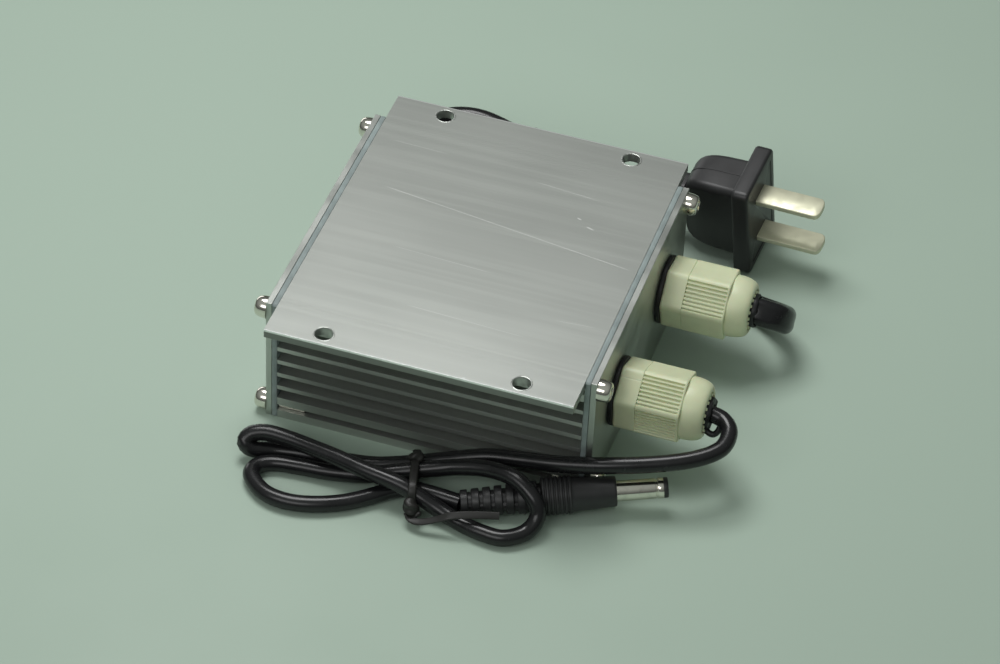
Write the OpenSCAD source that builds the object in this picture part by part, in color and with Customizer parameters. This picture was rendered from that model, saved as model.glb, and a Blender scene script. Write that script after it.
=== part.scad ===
// Rain-proof LED driver: a finned aluminium extrusion closed by two gasketed end plates,
// with an output lead and a mains lead that leave through cable glands in one end plate.
// Units are millimetres. The housing lies on its base, with its mounting flange on top.
// X runs along the extrusion towards the glands, Y across it, Z up.
// The origin is the middle of the base.

/* [Housing] */
// Length of the extrusion
body_len = 75; // [65:1:120]
// Width over the fin tips and the end plates
body_w = 76; // [72:1:100]
// Height of the housing
body_h = 35; // [34:0.5:50]
// Width of the mounting flange
flange_w = 94; // [92:1:130]
// Thickness of the flange and of the base
deck_t = 2.3; // [1.6:0.1:3]
// Thickness of the side walls
wall_t = 1.8; // [1.2:0.1:3]
// Spacing of the mounting holes along the extrusion
hole_span_x = 48; // [30:1:60]
// Distance of the mounting holes from the side edges of the flange
hole_edge = 3.5; // [2.8:0.1:4]
// Diameter of the mounting holes
hole_d = 4.4; // [3:0.1:5]

/* [Fins] */
// Depth of the fins outside the side wall
fin_depth = 5; // [3:0.5:6]
// Thickness of a fin
fin_t = 1.2; // [0.8:0.1:2]
// Distance from fin to fin
fin_pitch = 4; // [3:0.1:4.4]
// Number of fins between the two rails
fin_count = 5; // [3:2:5]
// Thickness of the rails beside the screw slots
rail_t = 2.2; // [1.6:0.1:2.6]
// Width of the screw slots
slot_w = 1.7; // [1.2:0.1:2]

/* [End plates] */
// Thickness of an end plate
plate_t = 1.5; // [1:0.1:3]
// Thickness of a gasket
gasket_t = 1.4; // [0.8:0.1:3]
// Distance of the screws from the side edges of a plate
screw_inset = 2; // [1.7:0.1:2.4]
// Diameter of the screw shanks
screw_d = 2.5; // [2:0.1:3]
// Length of screw that bites into the extrusion
screw_grip = 7; // [4:0.5:10]
// Diameter of the screw heads
head_d = 5.4; // [4.5:0.1:6]
// Height of the screw heads
head_h = 3.1; // [1.6:0.1:3.4]

/* [Glands] */
// Distance between the two glands
gland_pitch = 39; // [36:0.5:44]
// Sideways shift of the pair of glands
gland_shift = 0.5; // [-1:0.1:1]
// Diameter of the gland thread
gland_thread_d = 12.2; // [12:0.1:12.6]
// Width of the gland over its flats
gland_flats = 15.6; // [15:0.1:17]
// Diameter to which the hexagon corners are rounded
gland_round_d = 17.4; // [17:0.1:19]
// Diameter of the bore in a gland
gland_bore_d = 8.6; // [8.4:0.1:9]
// Length of the hexagon of a gland body
gland_hex_len = 5.4; // [4:0.1:7]
// Length of the ribbed part of a clamping nut
nut_len = 10.5; // [9:0.1:14]
// Length of the dome of a clamping nut
dome_len = 5.3; // [5:0.1:8]
// Thickness of the sealing washer
washer_t = 1.2; // [1:0.1:2.5]
// Diameter of the sealing washer
washer_d = 16.9; // [16.5:0.1:19]
// Thickness of the locknut inside the housing
locknut_t = 3.5; // [3:0.1:5]

/* [Output lead] */
// Diameter of the output cord
dc_cord_d = 4; // [3:0.1:4.2]
// Length of the ribbed strain relief of the output plug
relief_len = 18.8; // [14:0.2:24]
// Diameter of the strain relief at the cord
relief_d = 5.8; // [5:0.1:6.4]
// Length of the knurled collar of the output plug
collar_len = 7.4; // [5:0.1:10]
// Diameter of the knurled collar
collar_d = 9.2; // [8.2:0.1:10]
// Length of the smooth grip of the output plug
grip_len = 10.2; // [8:0.1:14]
// Diameter of the smooth grip at the collar
grip_d = 8.1; // [7.6:0.1:8.4]
// Diameter of the smooth grip at the barrel
grip_tip_d = 7.1; // [6.5:0.1:7.5]
// Length of the plug barrel
barrel_len = 12; // [9:0.1:14]
// Outer diameter of the plug barrel
barrel_d = 5; // [4.6:0.1:5.5]
// Diameter of the hole for the centre pin
pin_hole_d = 2.1; // [1.7:0.1:2.5]

/* [Mains lead] */
// Width of the flat mains cord
ac_cord_w = 6.8; // [6:0.1:7]
// Thickness of the flat mains cord
ac_cord_t = 4.2; // [3.6:0.1:4.4]
// Height of the face of the mains plug
face_h = 27.6; // [25:0.2:30]
// Width of the face of the mains plug
face_w = 18.8; // [17:0.2:22]
// Thickness of the face flange of the mains plug
face_t = 4.4; // [3:0.1:6]
// Height of the mains plug behind its flange
grasp_h = 22; // [20:0.2:24]
// Width of the mains plug behind its flange
grasp_w = 12.8; // [11:0.2:15]
// Length of the mains plug behind its flange
grasp_len = 14.2; // [12:0.2:18]
// Length of the strain relief of the mains plug
tail_len = 14; // [10:0.5:16]
// Width of a blade
blade_w = 6.3; // [6:0.1:6.6]
// Thickness of a blade
blade_t = 1.5; // [1.3:0.1:1.7]
// Length of a blade outside the plug
blade_len = 16.2; // [15:0.1:19]
// Distance between the two blades
blade_pitch = 12.7; // [12:0.1:13]

/* [Circuit board] */
// Length of the circuit board
board_len = 65; // [60:1:66]
// Thickness of the circuit board
board_t = 1.6; // [1:0.1:2]
// Height of the underside of the board above the base
board_z = 8; // [6:0.5:9]

/* [Fit] */
// Clearance round a piece that slides into another
fit = 0.1; // [0.05:0.05:0.3]
// Clearance of the tie round the cords
tie_fit = 0.4; // [0.2:0.1:0.6]
// Width of the tie wire's flat cover
tie_w = 1.8; // [1.4:0.1:2.4]
// Thickness of the tie wire's flat cover
tie_t = 0.6; // [0.4:0.1:0.8]
// Diameter of the twisted ends of a tie
knot_d = 1.6; // [1.2:0.1:2]
// Length of the twisted ends of a tie
knot_h = 2.6; // [2:0.1:4]

/* [Hidden] */
$fn = 48;
eps = 0.01;

// Housing section
wall_y = body_w / 2 - fin_depth;
cavity_y = wall_y - wall_t;
mid_z = body_h / 2;
hole_span_y = flange_w - 2 * hole_edge;
screw_y = body_w / 2 - screw_inset;
screw_z = mid_z - deck_t - slot_w / 2;
rail_z = mid_z - deck_t - slot_w - rail_t / 2;
rib_len = 2;
rib_t = 1;

// Stations along X
seat_x = body_len / 2;
plate_x = seat_x + gasket_t;
face_x = plate_x + plate_t;
hex_x = face_x + washer_t;
nut_x = hex_x + gland_hex_len;
dome_x = nut_x + nut_len;
tip_x = dome_x + dome_len;
thread_end_x = plate_x - locknut_t - 1.5;

// Glands
dc_y = gland_shift - gland_pitch / 2;
ac_y = gland_shift + gland_pitch / 2;
gland_z = mid_z;
stub_d = 11.4;
claw_d = 9.8;
rib_pitch = 1;
rib_cut = 0.45;
dc_hex_turn = 37;
ac_hex_turn = 50;
ac_roll = 49;

// Colours
bare_aluminium = [0.80, 0.81, 0.80];
gasket_blue = [0.22, 0.26, 0.33];
nickel = [0.86, 0.85, 0.80];
ivory = [0.83, 0.82, 0.70];
black_rubber = [0.07, 0.07, 0.08];
black_vinyl = [0.10, 0.10, 0.11];
board_green = [0.10, 0.35, 0.18];
ferrite = [0.20, 0.20, 0.21];
copper = [0.72, 0.42, 0.20];

// Output plug: the end of its strain relief, its turn, its lift and the wall of its barrel
dc_plug_at = [13.8, -53.9, 3.2];
dc_plug_turn = 21.8;
dc_plug_lift = 4.7;
sleeve_t = 0.4;

// Route of the output cord, from the gland through the tied hank to its plug
dc_route = [
    [tip_x, dc_y, gland_z], [66.6, -19.8, 17], [69, -22.9, 16.4], [68.4, -28.2, 15.6],
    [63, -32.8, 14.6], [54, -36.8, 13.6], [43, -40.2, 12.6], [33.5, -41.4, 11],
    [25, -41.4, 9.4], [16, -41.6, 7.7], [7, -43.5, 5.4], [-1, -45.5, 3.4],
    [-8.5, -47.5, 2.2], [-15, -48.8, 2.1], [-22, -49.6, 2.1], [-29, -50.5, 2.1],
    [-34, -51.8, 2.3], [-37.8, -53.7, 3.1], [-39.6, -53.8, 4.8], [-38.6, -52.2, 6.3],
    [-35, -51.1, 6.9], [-29.5, -51.3, 6.9], [-23.5, -52.2, 6.9], [-17.5, -53.4, 7.1],
    [-9, -55.4, 7.25], [-0.5, -56.6, 6.85], [5, -57.2, 5.1], [10, -57.8, 3.1],
    [15.5, -59.2, 2.1], [21, -60.5, 2.1], [26.5, -60.5, 2.1], [31, -57.2, 2.6],
    [32.6, -53.8, 5.2], [30.5, -51.8, 8.8], [25, -49.2, 10.7], [18, -47.6, 9.8],
    [11.5, -47.6, 8.2], [7, -48.3, 7], [0.5, -50.2, 5.8], [-5.5, -52.2, 4.7],
    [-10.5, -53.2, 3.3], [-18.5, -54.2, 2.5], [-25.5, -54.6, 2.2], [-31.5, -55.4, 2.1],
    [-34.8, -57.4, 2.1], [-35.5, -60.5, 2.1], [-33, -63.7, 2.1], [-29, -66, 2.1],
    [-23.5, -66.5, 2.1], [-17.5, -65, 2.1], [-11.5, -62, 2.1], [-6.5, -58, 2.15],
    [-2.5, -54.8, 2.6], [2, -53.2, 2.85], [7.5, -53.4, 3.1], dc_plug_at
];

// Mains plug: the middle of its face, and its roll, lift and turn where it leans on its flange
ac_plug_at = [54.4, 59.3, 15.1];
ac_plug_roll = 9;
ac_plug_lift = 2.9;
ac_plug_turn = -5.2;
ac_plug_dir = heading_of(ac_plug_turn, ac_plug_lift);
ac_plug_up = [0, -sin(ac_plug_roll), cos(ac_plug_roll)];
ac_tail_at = ac_plug_at - (face_t + grasp_len + tail_len) * ac_plug_dir;
blade_z = blade_pitch / 2;

// Hank of the mains cord: centres of its round ends, turns side by side, and its two legs
hank_right = [-1, 54];
hank_left = [-25, 62];
hank_inner_r = 6.4;
hank_turns = 2;
hank_pitch = 4.3;
hank_leg_x = 12;
hank_end_leg = 4.9;
hank_r = hank_inner_r + hank_turns * hank_pitch;
hank_h = 2 * ac_cord_w;
hank_span = norm(hank_left - hank_right);
hank_dir = (hank_right - hank_left) / hank_span;
hank_side = [-hank_dir[1], hank_dir[0]];
hank_turn = atan2(hank_dir[1], hank_dir[0]);

// Route of the mains cord, from its gland down to the table and behind the housing
ac_route = [
    [tip_x, ac_y, gland_z], [66.4, 20.2, 17], [69, 21.6, 15.6], [70.2, 24.4, 12.9],
    [69.6, 28.2, 9.8], [67, 32, 6.9], [62.6, 35.2, 4.8], [57, 37.8, 3.8],
    [50, 40.2, 3.5], [40, 42.2, 3.4], [26, 41.8, 3.4],
    [hank_leg_x, hank_right[1] - hank_r + ac_cord_t / 2, ac_cord_w / 2]
];
// Route of the mains cord from its hank up into the plug
ac_end_route = [
    concat(hank_right + hank_end_leg * hank_dir + (hank_r - ac_cord_t / 2) * hank_side, ac_cord_w * 1.5),
    [11.5, 63.5, 10.7], [16.5, 62.7, 12.2], ac_tail_at
];

// Circuit board, and the cores that carry windings
board_x = -seat_x + 1.5;
board_top = board_z + board_t;
choke_at = [2, 20];
choke_r = 4.5;
choke_t = 2.5;
choke_h = 6;
choke_wire = 1.4;
core_at = [-6, -4];
core_size = [20, 6, 17];
core_leg = 3;
window_w = core_size[0] - 2 * core_leg;
window_h = core_size[2] - 2 * core_leg;

// Direction turned about Z and lifted from the table
function heading_of(turn, lift) = [cos(turn) * cos(lift), sin(turn) * cos(lift), sin(lift)];
// Unit vector along v
function unit(v) = v / norm(v);
// Direction of the route at point i
function heading(route, i) =
    unit(route[min(i + 1, len(route) - 1)] - route[max(i - 1, 0)]);
// Points of a round section
function round_section(d, sides) =
    [for (k = [0:sides - 1]) [cos(360 * k / sides), sin(360 * k / sides)] * d / 2];
// Points of a flat section w wide and t thick with round edges
function flat_section(w, t, sides) =
    [for (k = [0:sides - 1])
        let (a = 360 * (k + 0.5) / sides)
        [sign(cos(a)) * (w - t) / 2 + cos(a) * t / 2, sin(a) * t / 2]];
// Points of a thin rectangular section w wide and t thick
function ribbon_section(w, t) = [[w, -t], [w, t], [-w, t], [-w, -t]] / 2;
// Ring of a section at point p, with its width along wide and its normal along dir
function ring(p, dir, wide, section) =
    let (thin = unit(cross(dir, wide)), across = cross(thin, dir))
    [for (s = section) p + across * s[0] + thin * s[1]];

// Tube of a section swept along a route; wides gives the direction of the width at each point
module swept(route, wides, section, dir_first, dir_last) {
    n = len(section);
    last = len(route) - 1;
    dirs = [for (i = [0:last]) i == 0 ? dir_first : i == last ? dir_last : heading(route, i)];
    points = [for (i = [0:last]) each ring(route[i], dirs[i], wides[i], section)];
    sides = [for (i = [0:last - 1]) for (k = [0:n - 1]) each [
        [i * n + k, (i + 1) * n + k, i * n + (k + 1) % n],
        [i * n + (k + 1) % n, (i + 1) * n + k, (i + 1) * n + (k + 1) % n]
    ]];
    caps = [[for (k = [0:n - 1]) k], [for (k = [n - 1:-1:0]) last * n + k]];
    polyhedron(points, concat(sides, caps), convexity = 10);
}

// Carries a flat outline drawn in Y and Z along X
module along_x(x, length) {
    translate([x, 0, 0]) rotate([90, 0, 90]) linear_extrude(height = length) children();
}

// Revolved profile with its axis along X; the profile is drawn as radius and distance
module turned_x(x, y, z) {
    translate([x, y, z]) rotate([0, 90, 0]) rotate_extrude() children();
}

// Places a child at each of the four end screws, drawn in Y and Z
module at_end_screws() {
    for (sy = [-1, 1], sz = [-1, 1])
        translate([sy * screw_y, mid_z + sz * screw_z]) children();
}

// Section of the extrusion
module housing_section() {
    difference() {
        union() {
            translate([-wall_y, 0]) square([2 * wall_y, body_h]);
            translate([-flange_w / 2, body_h - deck_t]) square([flange_w, deck_t]);
            translate([-body_w / 2, 0]) square([body_w, deck_t]);
            for (s = [-1, 1])
                translate([-body_w / 2, mid_z + s * rail_z - rail_t / 2]) square([body_w, rail_t]);
            for (i = [0:fin_count - 1])
                translate([-body_w / 2, mid_z + (i - (fin_count - 1) / 2) * fin_pitch - fin_t / 2])
                    square([body_w, fin_t]);
        }
        translate([-cavity_y, deck_t]) square([2 * cavity_y, body_h - 2 * deck_t]);
    }
    for (s = [-1, 1], z = [board_z - rib_t, board_top + fit])
        translate([s > 0 ? cavity_y - rib_len : -cavity_y, z]) square([rib_len, rib_t]);
}

// Finned extrusion with its mounting holes and the bores for the end screws
module housing() {
    color(bare_aluminium) difference() {
        along_x(-seat_x, body_len) housing_section();
        for (sx = [-1, 1], sy = [-1, 1])
            translate([sx * hole_span_x / 2, sy * hole_span_y / 2, body_h - deck_t - 1])
                cylinder(d = hole_d, h = deck_t + 2);
        for (x = [-seat_x - 1, seat_x - screw_grip - 1])
            along_x(x, screw_grip + 2) at_end_screws() circle(d = screw_d + fit);
    }
}

// Outline shared by the end plates and gaskets, with its screw holes
module end_outline() {
    difference() {
        translate([-body_w / 2, 0]) square([body_w, body_h]);
        at_end_screws() circle(d = screw_d + 2 * fit);
    }
}

// Gasket with the extrusion's own opening
module gasket(x) {
    color(gasket_blue) along_x(x, gasket_t) difference() {
        end_outline();
        translate([-cavity_y, deck_t]) square([2 * cavity_y, body_h - 2 * deck_t]);
    }
}

module left_gasket() {
    gasket(-plate_x);
}

module right_gasket() {
    gasket(seat_x);
}

module left_end_plate() {
    color(bare_aluminium) along_x(-face_x, plate_t) end_outline();
}

// End plate with the two gland holes
module right_end_plate() {
    color(bare_aluminium) along_x(plate_x, plate_t) difference() {
        end_outline();
        for (y = [dc_y, ac_y])
            translate([y, gland_z]) circle(d = gland_thread_d + 2 * fit);
    }
}

// Pan-head screw, its head on the plane of its own origin and its shank along -Z
module pan_screw() {
    crown = head_h * 0.3;
    difference() {
        union() {
            cylinder(d = head_d, h = head_h - crown);
            translate([0, 0, head_h - crown])
                rotate_extrude()
                    polygon([
                        [0, 0],
                        for (a = [0:15:90]) [head_d / 2 * (0.35 + 0.65 * cos(a)), crown * sin(a)],
                        [0, crown]
                    ]);
            translate([0, 0, -plate_t - gasket_t - screw_grip])
                cylinder(d = screw_d, h = plate_t + gasket_t + screw_grip + eps);
        }
        for (a = [0, 90])
            rotate(a) translate([-head_d * 0.3, -head_d * 0.06, head_h * 0.45])
                cube([head_d * 0.6, head_d * 0.12, head_h]);
    }
}

module left_end_screws() {
    color(nickel) for (sy = [-1, 1], sz = [-1, 1])
        translate([-face_x, sy * screw_y, mid_z + sz * screw_z]) rotate([0, -90, 0]) pan_screw();
}

module right_end_screws() {
    color(nickel) for (sy = [-1, 1], sz = [-1, 1])
        translate([face_x, sy * screw_y, mid_z + sz * screw_z]) rotate([0, 90, 0]) pan_screw();
}

// Hexagon across its flats with rounded corners; turn is the angle of one corner from Y
module gland_hexagon(turn) {
    intersection() {
        rotate(turn) circle(d = gland_flats / cos(30), $fn = 6);
        circle(d = gland_round_d);
    }
}

// Gland body: inner thread, hexagon, and a stub that ends in clamping claws
module gland_body(y, turn) {
    claws = 10;
    claw_len = 5;
    color(ivory) difference() {
        union() {
            along_x(hex_x, gland_hex_len) translate([y, gland_z]) gland_hexagon(turn);
            turned_x(thread_end_x, y, gland_z) square([gland_thread_d / 2, hex_x - thread_end_x]);
            turned_x(nut_x, y, gland_z) square([stub_d / 2, nut_len - 1]);
            turned_x(nut_x, y, gland_z) square([claw_d / 2, nut_len + dome_len - 0.6]);
        }
        turned_x(thread_end_x - 1, y, gland_z) square([gland_bore_d / 2, tip_x]);
        for (i = [0:claws - 1])
            translate([tip_x - claw_len, y, gland_z]) rotate([360 * i / claws, 0, 0])
                translate([0, -0.35, gland_bore_d / 2 - 0.5]) cube([claw_len, 0.7, 2]);
    }
}

module gland_washer(y) {
    color(black_rubber) turned_x(face_x, y, gland_z)
        translate([gland_thread_d / 2 + fit, 0]) square([washer_d / 2 - gland_thread_d / 2 - fit, washer_t]);
}

// Hexagonal locknut against the inside of the end plate
module gland_locknut(y) {
    color(ivory) along_x(plate_x - locknut_t, locknut_t) translate([y, gland_z]) difference() {
        gland_hexagon(0);
        circle(d = gland_thread_d + 2 * fit);
    }
}

// Outline of a clamping nut: a rounded hexagon with grooves across the listed flats
module nut_outline(turn, grooved) {
    grooves = 8;
    difference() {
        gland_hexagon(turn);
        for (side = grooved, i = [0:grooves - 1])
            rotate(turn + 30 + 60 * side)
                translate([gland_flats / 2 - rib_cut, (i - (grooves - 1) / 2) * rib_pitch - 0.25])
                    square([1, 0.5]);
    }
}

// Clamping nut: a ribbed hexagon that runs into a dome with a round mouth
module gland_nut(y, turn, grooved) {
    base_r = gland_flats / 2 - 0.2;
    lip_r = claw_d / 2 + fit + 0.4;
    mouth_r = claw_d / 2 + fit;
    color(ivory) difference() {
        union() {
            along_x(nut_x, nut_len) translate([y, gland_z]) nut_outline(turn, grooved);
            turned_x(dome_x, y, gland_z)
                polygon([
                    [0, 0],
                    [base_r, 0],
                    for (a = [0:10:90]) [lip_r + (base_r - lip_r) * cos(a), 1 + (dome_len - 1) * sin(a)],
                    [0, dome_len]
                ]);
        }
        turned_x(nut_x - 1, y, gland_z) square([stub_d / 2 + fit, nut_len + 1]);
        turned_x(nut_x, y, gland_z) square([mouth_r, nut_len + dome_len + 1]);
    }
}

module dc_gland_body() {
    gland_body(dc_y, dc_hex_turn);
}

module ac_gland_body() {
    gland_body(ac_y, ac_hex_turn);
}

module dc_gland_washer() {
    gland_washer(dc_y);
}

module ac_gland_washer() {
    gland_washer(ac_y);
}

module dc_gland_locknut() {
    gland_locknut(dc_y);
}

module ac_gland_locknut() {
    gland_locknut(ac_y);
}

module dc_gland_nut() {
    gland_nut(dc_y, dc_hex_turn, [1, 2, 4, 5]);
}

module ac_gland_nut() {
    gland_nut(ac_y, ac_hex_turn, [1, 3, 5]);
}

// Flat section of the mains cord at the roll it has in its gland, grown by extra all round
module ac_section(extra) {
    rotate(ac_roll) {
        square([ac_cord_w - ac_cord_t, ac_cord_t + 2 * extra], center = true);
        for (s = [-1, 1])
            translate([s * (ac_cord_w - ac_cord_t) / 2, 0]) circle(d = ac_cord_t + 2 * extra);
    }
}

// Rubber seal that the claws squeeze round the output cord
module dc_gland_seal() {
    color(black_rubber) along_x(nut_x, nut_len + dome_len) translate([dc_y, gland_z]) difference() {
        circle(d = gland_bore_d - 2 * fit);
        circle(d = dc_cord_d + 2 * fit);
    }
}

module ac_gland_seal() {
    color(black_rubber) along_x(nut_x, nut_len + dome_len) translate([ac_y, gland_z]) difference() {
        circle(d = gland_bore_d - 2 * fit);
        ac_section(fit);
    }
}

// Two wires that leave a cord inside the housing and bend down to the board
module inner_wires(y, gap, land_x) {
    wire_d = 1.5;
    for (s = [-1, 1]) translate([0, y + s * gap / 2, 0]) {
        translate([land_x, 0, gland_z]) rotate([0, 90, 0]) cylinder(d = wire_d, h = thread_end_x - land_x);
        translate([land_x, 0, gland_z]) sphere(d = wire_d);
        translate([land_x, 0, board_top]) cylinder(d = wire_d, h = gland_z - board_top);
    }
}

module dc_inner_lead() {
    color(black_vinyl) {
        turned_x(thread_end_x - eps, dc_y, gland_z) square([dc_cord_d / 2, tip_x - thread_end_x + eps]);
        inner_wires(dc_y, 1.9, board_x + board_len - 2);
    }
}

module ac_inner_lead() {
    color(black_vinyl) {
        along_x(thread_end_x - eps, tip_x - thread_end_x + eps) translate([ac_y, gland_z]) ac_section(0);
        inner_wires(ac_y, 3.4, board_x + board_len - 1.5);
    }
}

// Output cord from its gland through the hank to its plug
module dc_cord() {
    up = [for (p = dc_route) [0, 0, 1]];
    plug_dir = heading_of(dc_plug_turn, dc_plug_lift);
    color(black_vinyl) swept(dc_route, up, round_section(dc_cord_d, 8), [1, 0, 0], plug_dir);
}

// Places a child drawn along Z on the axis of the output plug
module on_dc_plug(station) {
    translate(dc_plug_at) rotate([0, 90 - dc_plug_lift, dc_plug_turn]) translate([0, 0, station]) children();
}

// Moulded strain relief, collar and grip of the output plug
module dc_plug_grip() {
    ribs = 7;
    pitch = relief_len / ribs;
    core_d = dc_cord_d + 1.2;
    grow = (grip_d - relief_d) / relief_len;
    knurls = 7;
    knurl_pitch = collar_len / knurls;
    color(black_vinyl) {
        on_dc_plug(0) cylinder(d = core_d, h = relief_len + eps);
        for (i = [0:ribs - 1])
            on_dc_plug(i * pitch) cylinder(d = relief_d + grow * i * pitch, h = pitch * 0.66);
        on_dc_plug(relief_len) cylinder(d = collar_d - 0.7, h = collar_len + eps);
        for (i = [0:knurls - 1])
            on_dc_plug(relief_len + i * knurl_pitch) cylinder(d = collar_d, h = knurl_pitch * 0.55);
        on_dc_plug(relief_len + collar_len) cylinder(d1 = grip_d, d2 = grip_tip_d, h = grip_len);
    }
}

// Barrel contact of the output plug: a sleeve with a groove near its tip
module dc_plug_barrel() {
    groove_at = barrel_len - 2.2;
    color(nickel) on_dc_plug(relief_len + collar_len + grip_len) difference() {
        cylinder(d = barrel_d, h = barrel_len - 1);
        translate([0, 0, 1]) cylinder(d = barrel_d - 2 * sleeve_t, h = barrel_len);
        translate([0, 0, groove_at]) difference() {
            cylinder(d = barrel_d + 1, h = 0.5);
            translate([0, 0, -1]) cylinder(d = barrel_d - 0.3, h = 3);
        }
    }
}

// Insulator in the barrel with the hole for the centre pin, and its rim at the tip
module dc_plug_insulator() {
    color(black_vinyl) on_dc_plug(relief_len + collar_len + grip_len) difference() {
        union() {
            translate([0, 0, 1]) cylinder(d = barrel_d - 2 * sleeve_t - fit, h = barrel_len - 1);
            translate([0, 0, barrel_len - 1]) cylinder(d = barrel_d, h = 1);
        }
        translate([0, 0, 2]) cylinder(d = pin_hole_d, h = barrel_len);
    }
}

// Block round the tied strands of the output cord, grown by extra and width wide
module round_strands(extra, width) {
    strands = [[-45.1, 3.65], [-50.35, 5.75], [-54.1, 3], [-56.7, 6.8]];
    hull() for (s = strands)
        translate([-width / 2, s[0], s[1]]) rotate([0, 90, 0])
            cylinder(d = dc_cord_d + 2 * extra, h = width, $fn = 32);
}

// Tie round the hank of the output cord: a wire band, its twisted knot and a ribbon tail
module dc_tie() {
    knot = [0, -60.4, 4.6];
    tail = [[-5, -61.6, 0.9], [-1.5, -63.2, 0.9], [2.4, -64.6, 1.1], [9, -64, 3.5],
            [15, -62.8, 5.3], [22, -60.4, 5.4], [26, -58.8, 5.2]];
    tail_wide = [for (p = tail) [0.2, 0.7, 0.5]];
    color(black_vinyl) {
        difference() {
            round_strands(tie_fit + tie_t, tie_w);
            round_strands(tie_fit, 2 * tie_w);
        }
        translate(knot) sphere(d = knot_h);
        translate(knot) rotate([125, 0, 0]) cylinder(d = knot_d, h = 5.6);
        swept(tail, tail_wide, ribbon_section(tie_w, tie_t), heading(tail, 0), heading(tail, len(tail) - 1));
    }
}

// Mains cord from its gland down to the table and behind the housing
module ac_cord() {
    tilted = [0, cos(ac_roll), sin(ac_roll)];
    last = len(ac_route) - 1;
    wides = [for (i = [0:last]) let (u = min(1, max(0, (i - 4) / 3))) (1 - u) * tilted + u * [0, 0, 1]];
    color(black_vinyl)
        swept(ac_route, wides, flat_section(ac_cord_w, ac_cord_t, 12), [1, 0, 0], [-1, 0, 0]);
}

// Outline of a hank run: two round ends of radius r joined by straight sides
module hank_outline(r) {
    for (c = [hank_right, hank_left]) translate(c) circle(r = r);
    translate(hank_right) rotate(hank_turn) translate([-hank_span, -r]) square([hank_span, 2 * r]);
}

// Upper layer of the hank: one turn less at the right end, where the cord runs out to the plug
module hank_upper_outline() {
    r = hank_r - hank_pitch;
    translate(hank_left) circle(r = hank_r);
    translate(hank_right) circle(r = r);
    translate(hank_right) rotate(hank_turn)
        polygon([[0, -r], [-hank_span, -hank_r], [-hank_span, hank_r], [hank_end_leg, hank_r],
                 [hank_end_leg, hank_r - ac_cord_t], [0, r]]);
}

// Places the mains tie on the outer side of the hank, half way between its ends
module on_hank_tie() {
    translate(hank_right) rotate(hank_turn) translate([-hank_span / 2, hank_r, 0]) children();
}

// Oval hank of the mains cord, pinched under its tie, with the straight legs that enter and leave it
module ac_hank() {
    color(black_vinyl) {
        difference() {
            linear_extrude(height = ac_cord_w) difference() {
                hank_outline(hank_r);
                hank_outline(hank_inner_r);
            }
            on_hank_tie() translate([-tie_w / 2 - tie_fit, -hank_r, -1])
                cube([tie_w + 2 * tie_fit, hank_r + 1, tie_t + tie_fit + 1]);
        }
        translate([hank_right[0], hank_right[1] - hank_r, 0])
            cube([hank_leg_x - hank_right[0], ac_cord_t, ac_cord_w]);
        translate([0, 0, ac_cord_w]) linear_extrude(height = ac_cord_w) difference() {
            hank_upper_outline();
            hank_outline(hank_inner_r);
        }
    }
}

// Mains cord from its hank up into the plug
module ac_cord_end() {
    first = concat(hank_dir, 0);
    last = len(ac_end_route) - 1;
    wides = [for (i = [0:last]) i < last ? [0, 0, 1] : ac_plug_up];
    color(black_vinyl)
        swept(ac_end_route, wides, flat_section(ac_cord_w, ac_cord_t, 12), first, ac_plug_dir);
}

// Tie round the far side of the mains hank
module ac_tie() {
    bundle_w = hank_turns * hank_pitch;
    color(black_vinyl) on_hank_tie() {
        difference() {
            translate([-tie_w / 2, -bundle_w - tie_t - tie_fit, 0])
                cube([tie_w, bundle_w + 2 * (tie_t + tie_fit), hank_h + tie_fit + tie_t]);
            translate([-tie_w, -bundle_w - tie_fit, tie_t])
                cube([2 * tie_w, bundle_w + 2 * tie_fit, hank_h + tie_fit - tie_t]);
        }
        translate([0, -bundle_w / 2, hank_h + tie_fit + tie_t]) cylinder(d = knot_d, h = knot_h);
    }
}

// Places a child drawn along X, with its face at the origin, on the mains plug
module on_ac_plug() {
    translate(ac_plug_at) rotate([ac_plug_roll, -ac_plug_lift, ac_plug_turn]) children();
}

// Rounded block w by h, centred on the plug axis, from x for a length
module plug_block(x, length, w, h, r) {
    translate([x, 0, 0]) rotate([90, 0, 90]) linear_extrude(height = length) {
        square([w - 2 * r, h], center = true);
        square([w, h - 2 * r], center = true);
        for (sy = [-1, 1], sz = [-1, 1])
            translate([sy * (w / 2 - r), sz * (h / 2 - r)]) circle(r = r, $fn = 32);
    }
}

// Moulded mains plug: face flange, shouldered body and tapered strain relief
module ac_plug_body() {
    shoulder_x = -face_t - grasp_len;
    skin = 0.2;
    edge = 0.7;
    corner = 2.4;
    color(black_vinyl) on_ac_plug() {
        hull() {
            plug_block(-face_t, skin, face_w - 2 * edge, face_h - 2 * edge, corner - edge);
            plug_block(edge - face_t, face_t - 2 * edge, face_w, face_h, corner);
            plug_block(-skin, skin, face_w - 2 * edge, face_h - 2 * edge, corner - edge);
        }
        hull() {
            plug_block(-face_t - skin, 2 * skin, grasp_w, grasp_h, corner);
            plug_block(-face_t - 0.62 * grasp_len, skin, 0.97 * grasp_w, 0.97 * grasp_h, corner);
            plug_block(-face_t - 0.85 * grasp_len, skin, 0.86 * grasp_w, 0.83 * grasp_h, corner);
            plug_block(shoulder_x, skin, 0.66 * grasp_w, 0.57 * grasp_h, corner);
        }
        hull() {
            plug_block(shoulder_x - skin, 2 * skin, ac_cord_t + 3, ac_cord_w + 3, corner);
            plug_block(shoulder_x - tail_len, skin, ac_cord_t + 1.6, ac_cord_w + 1.6, corner - edge);
        }
    }
}

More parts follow.
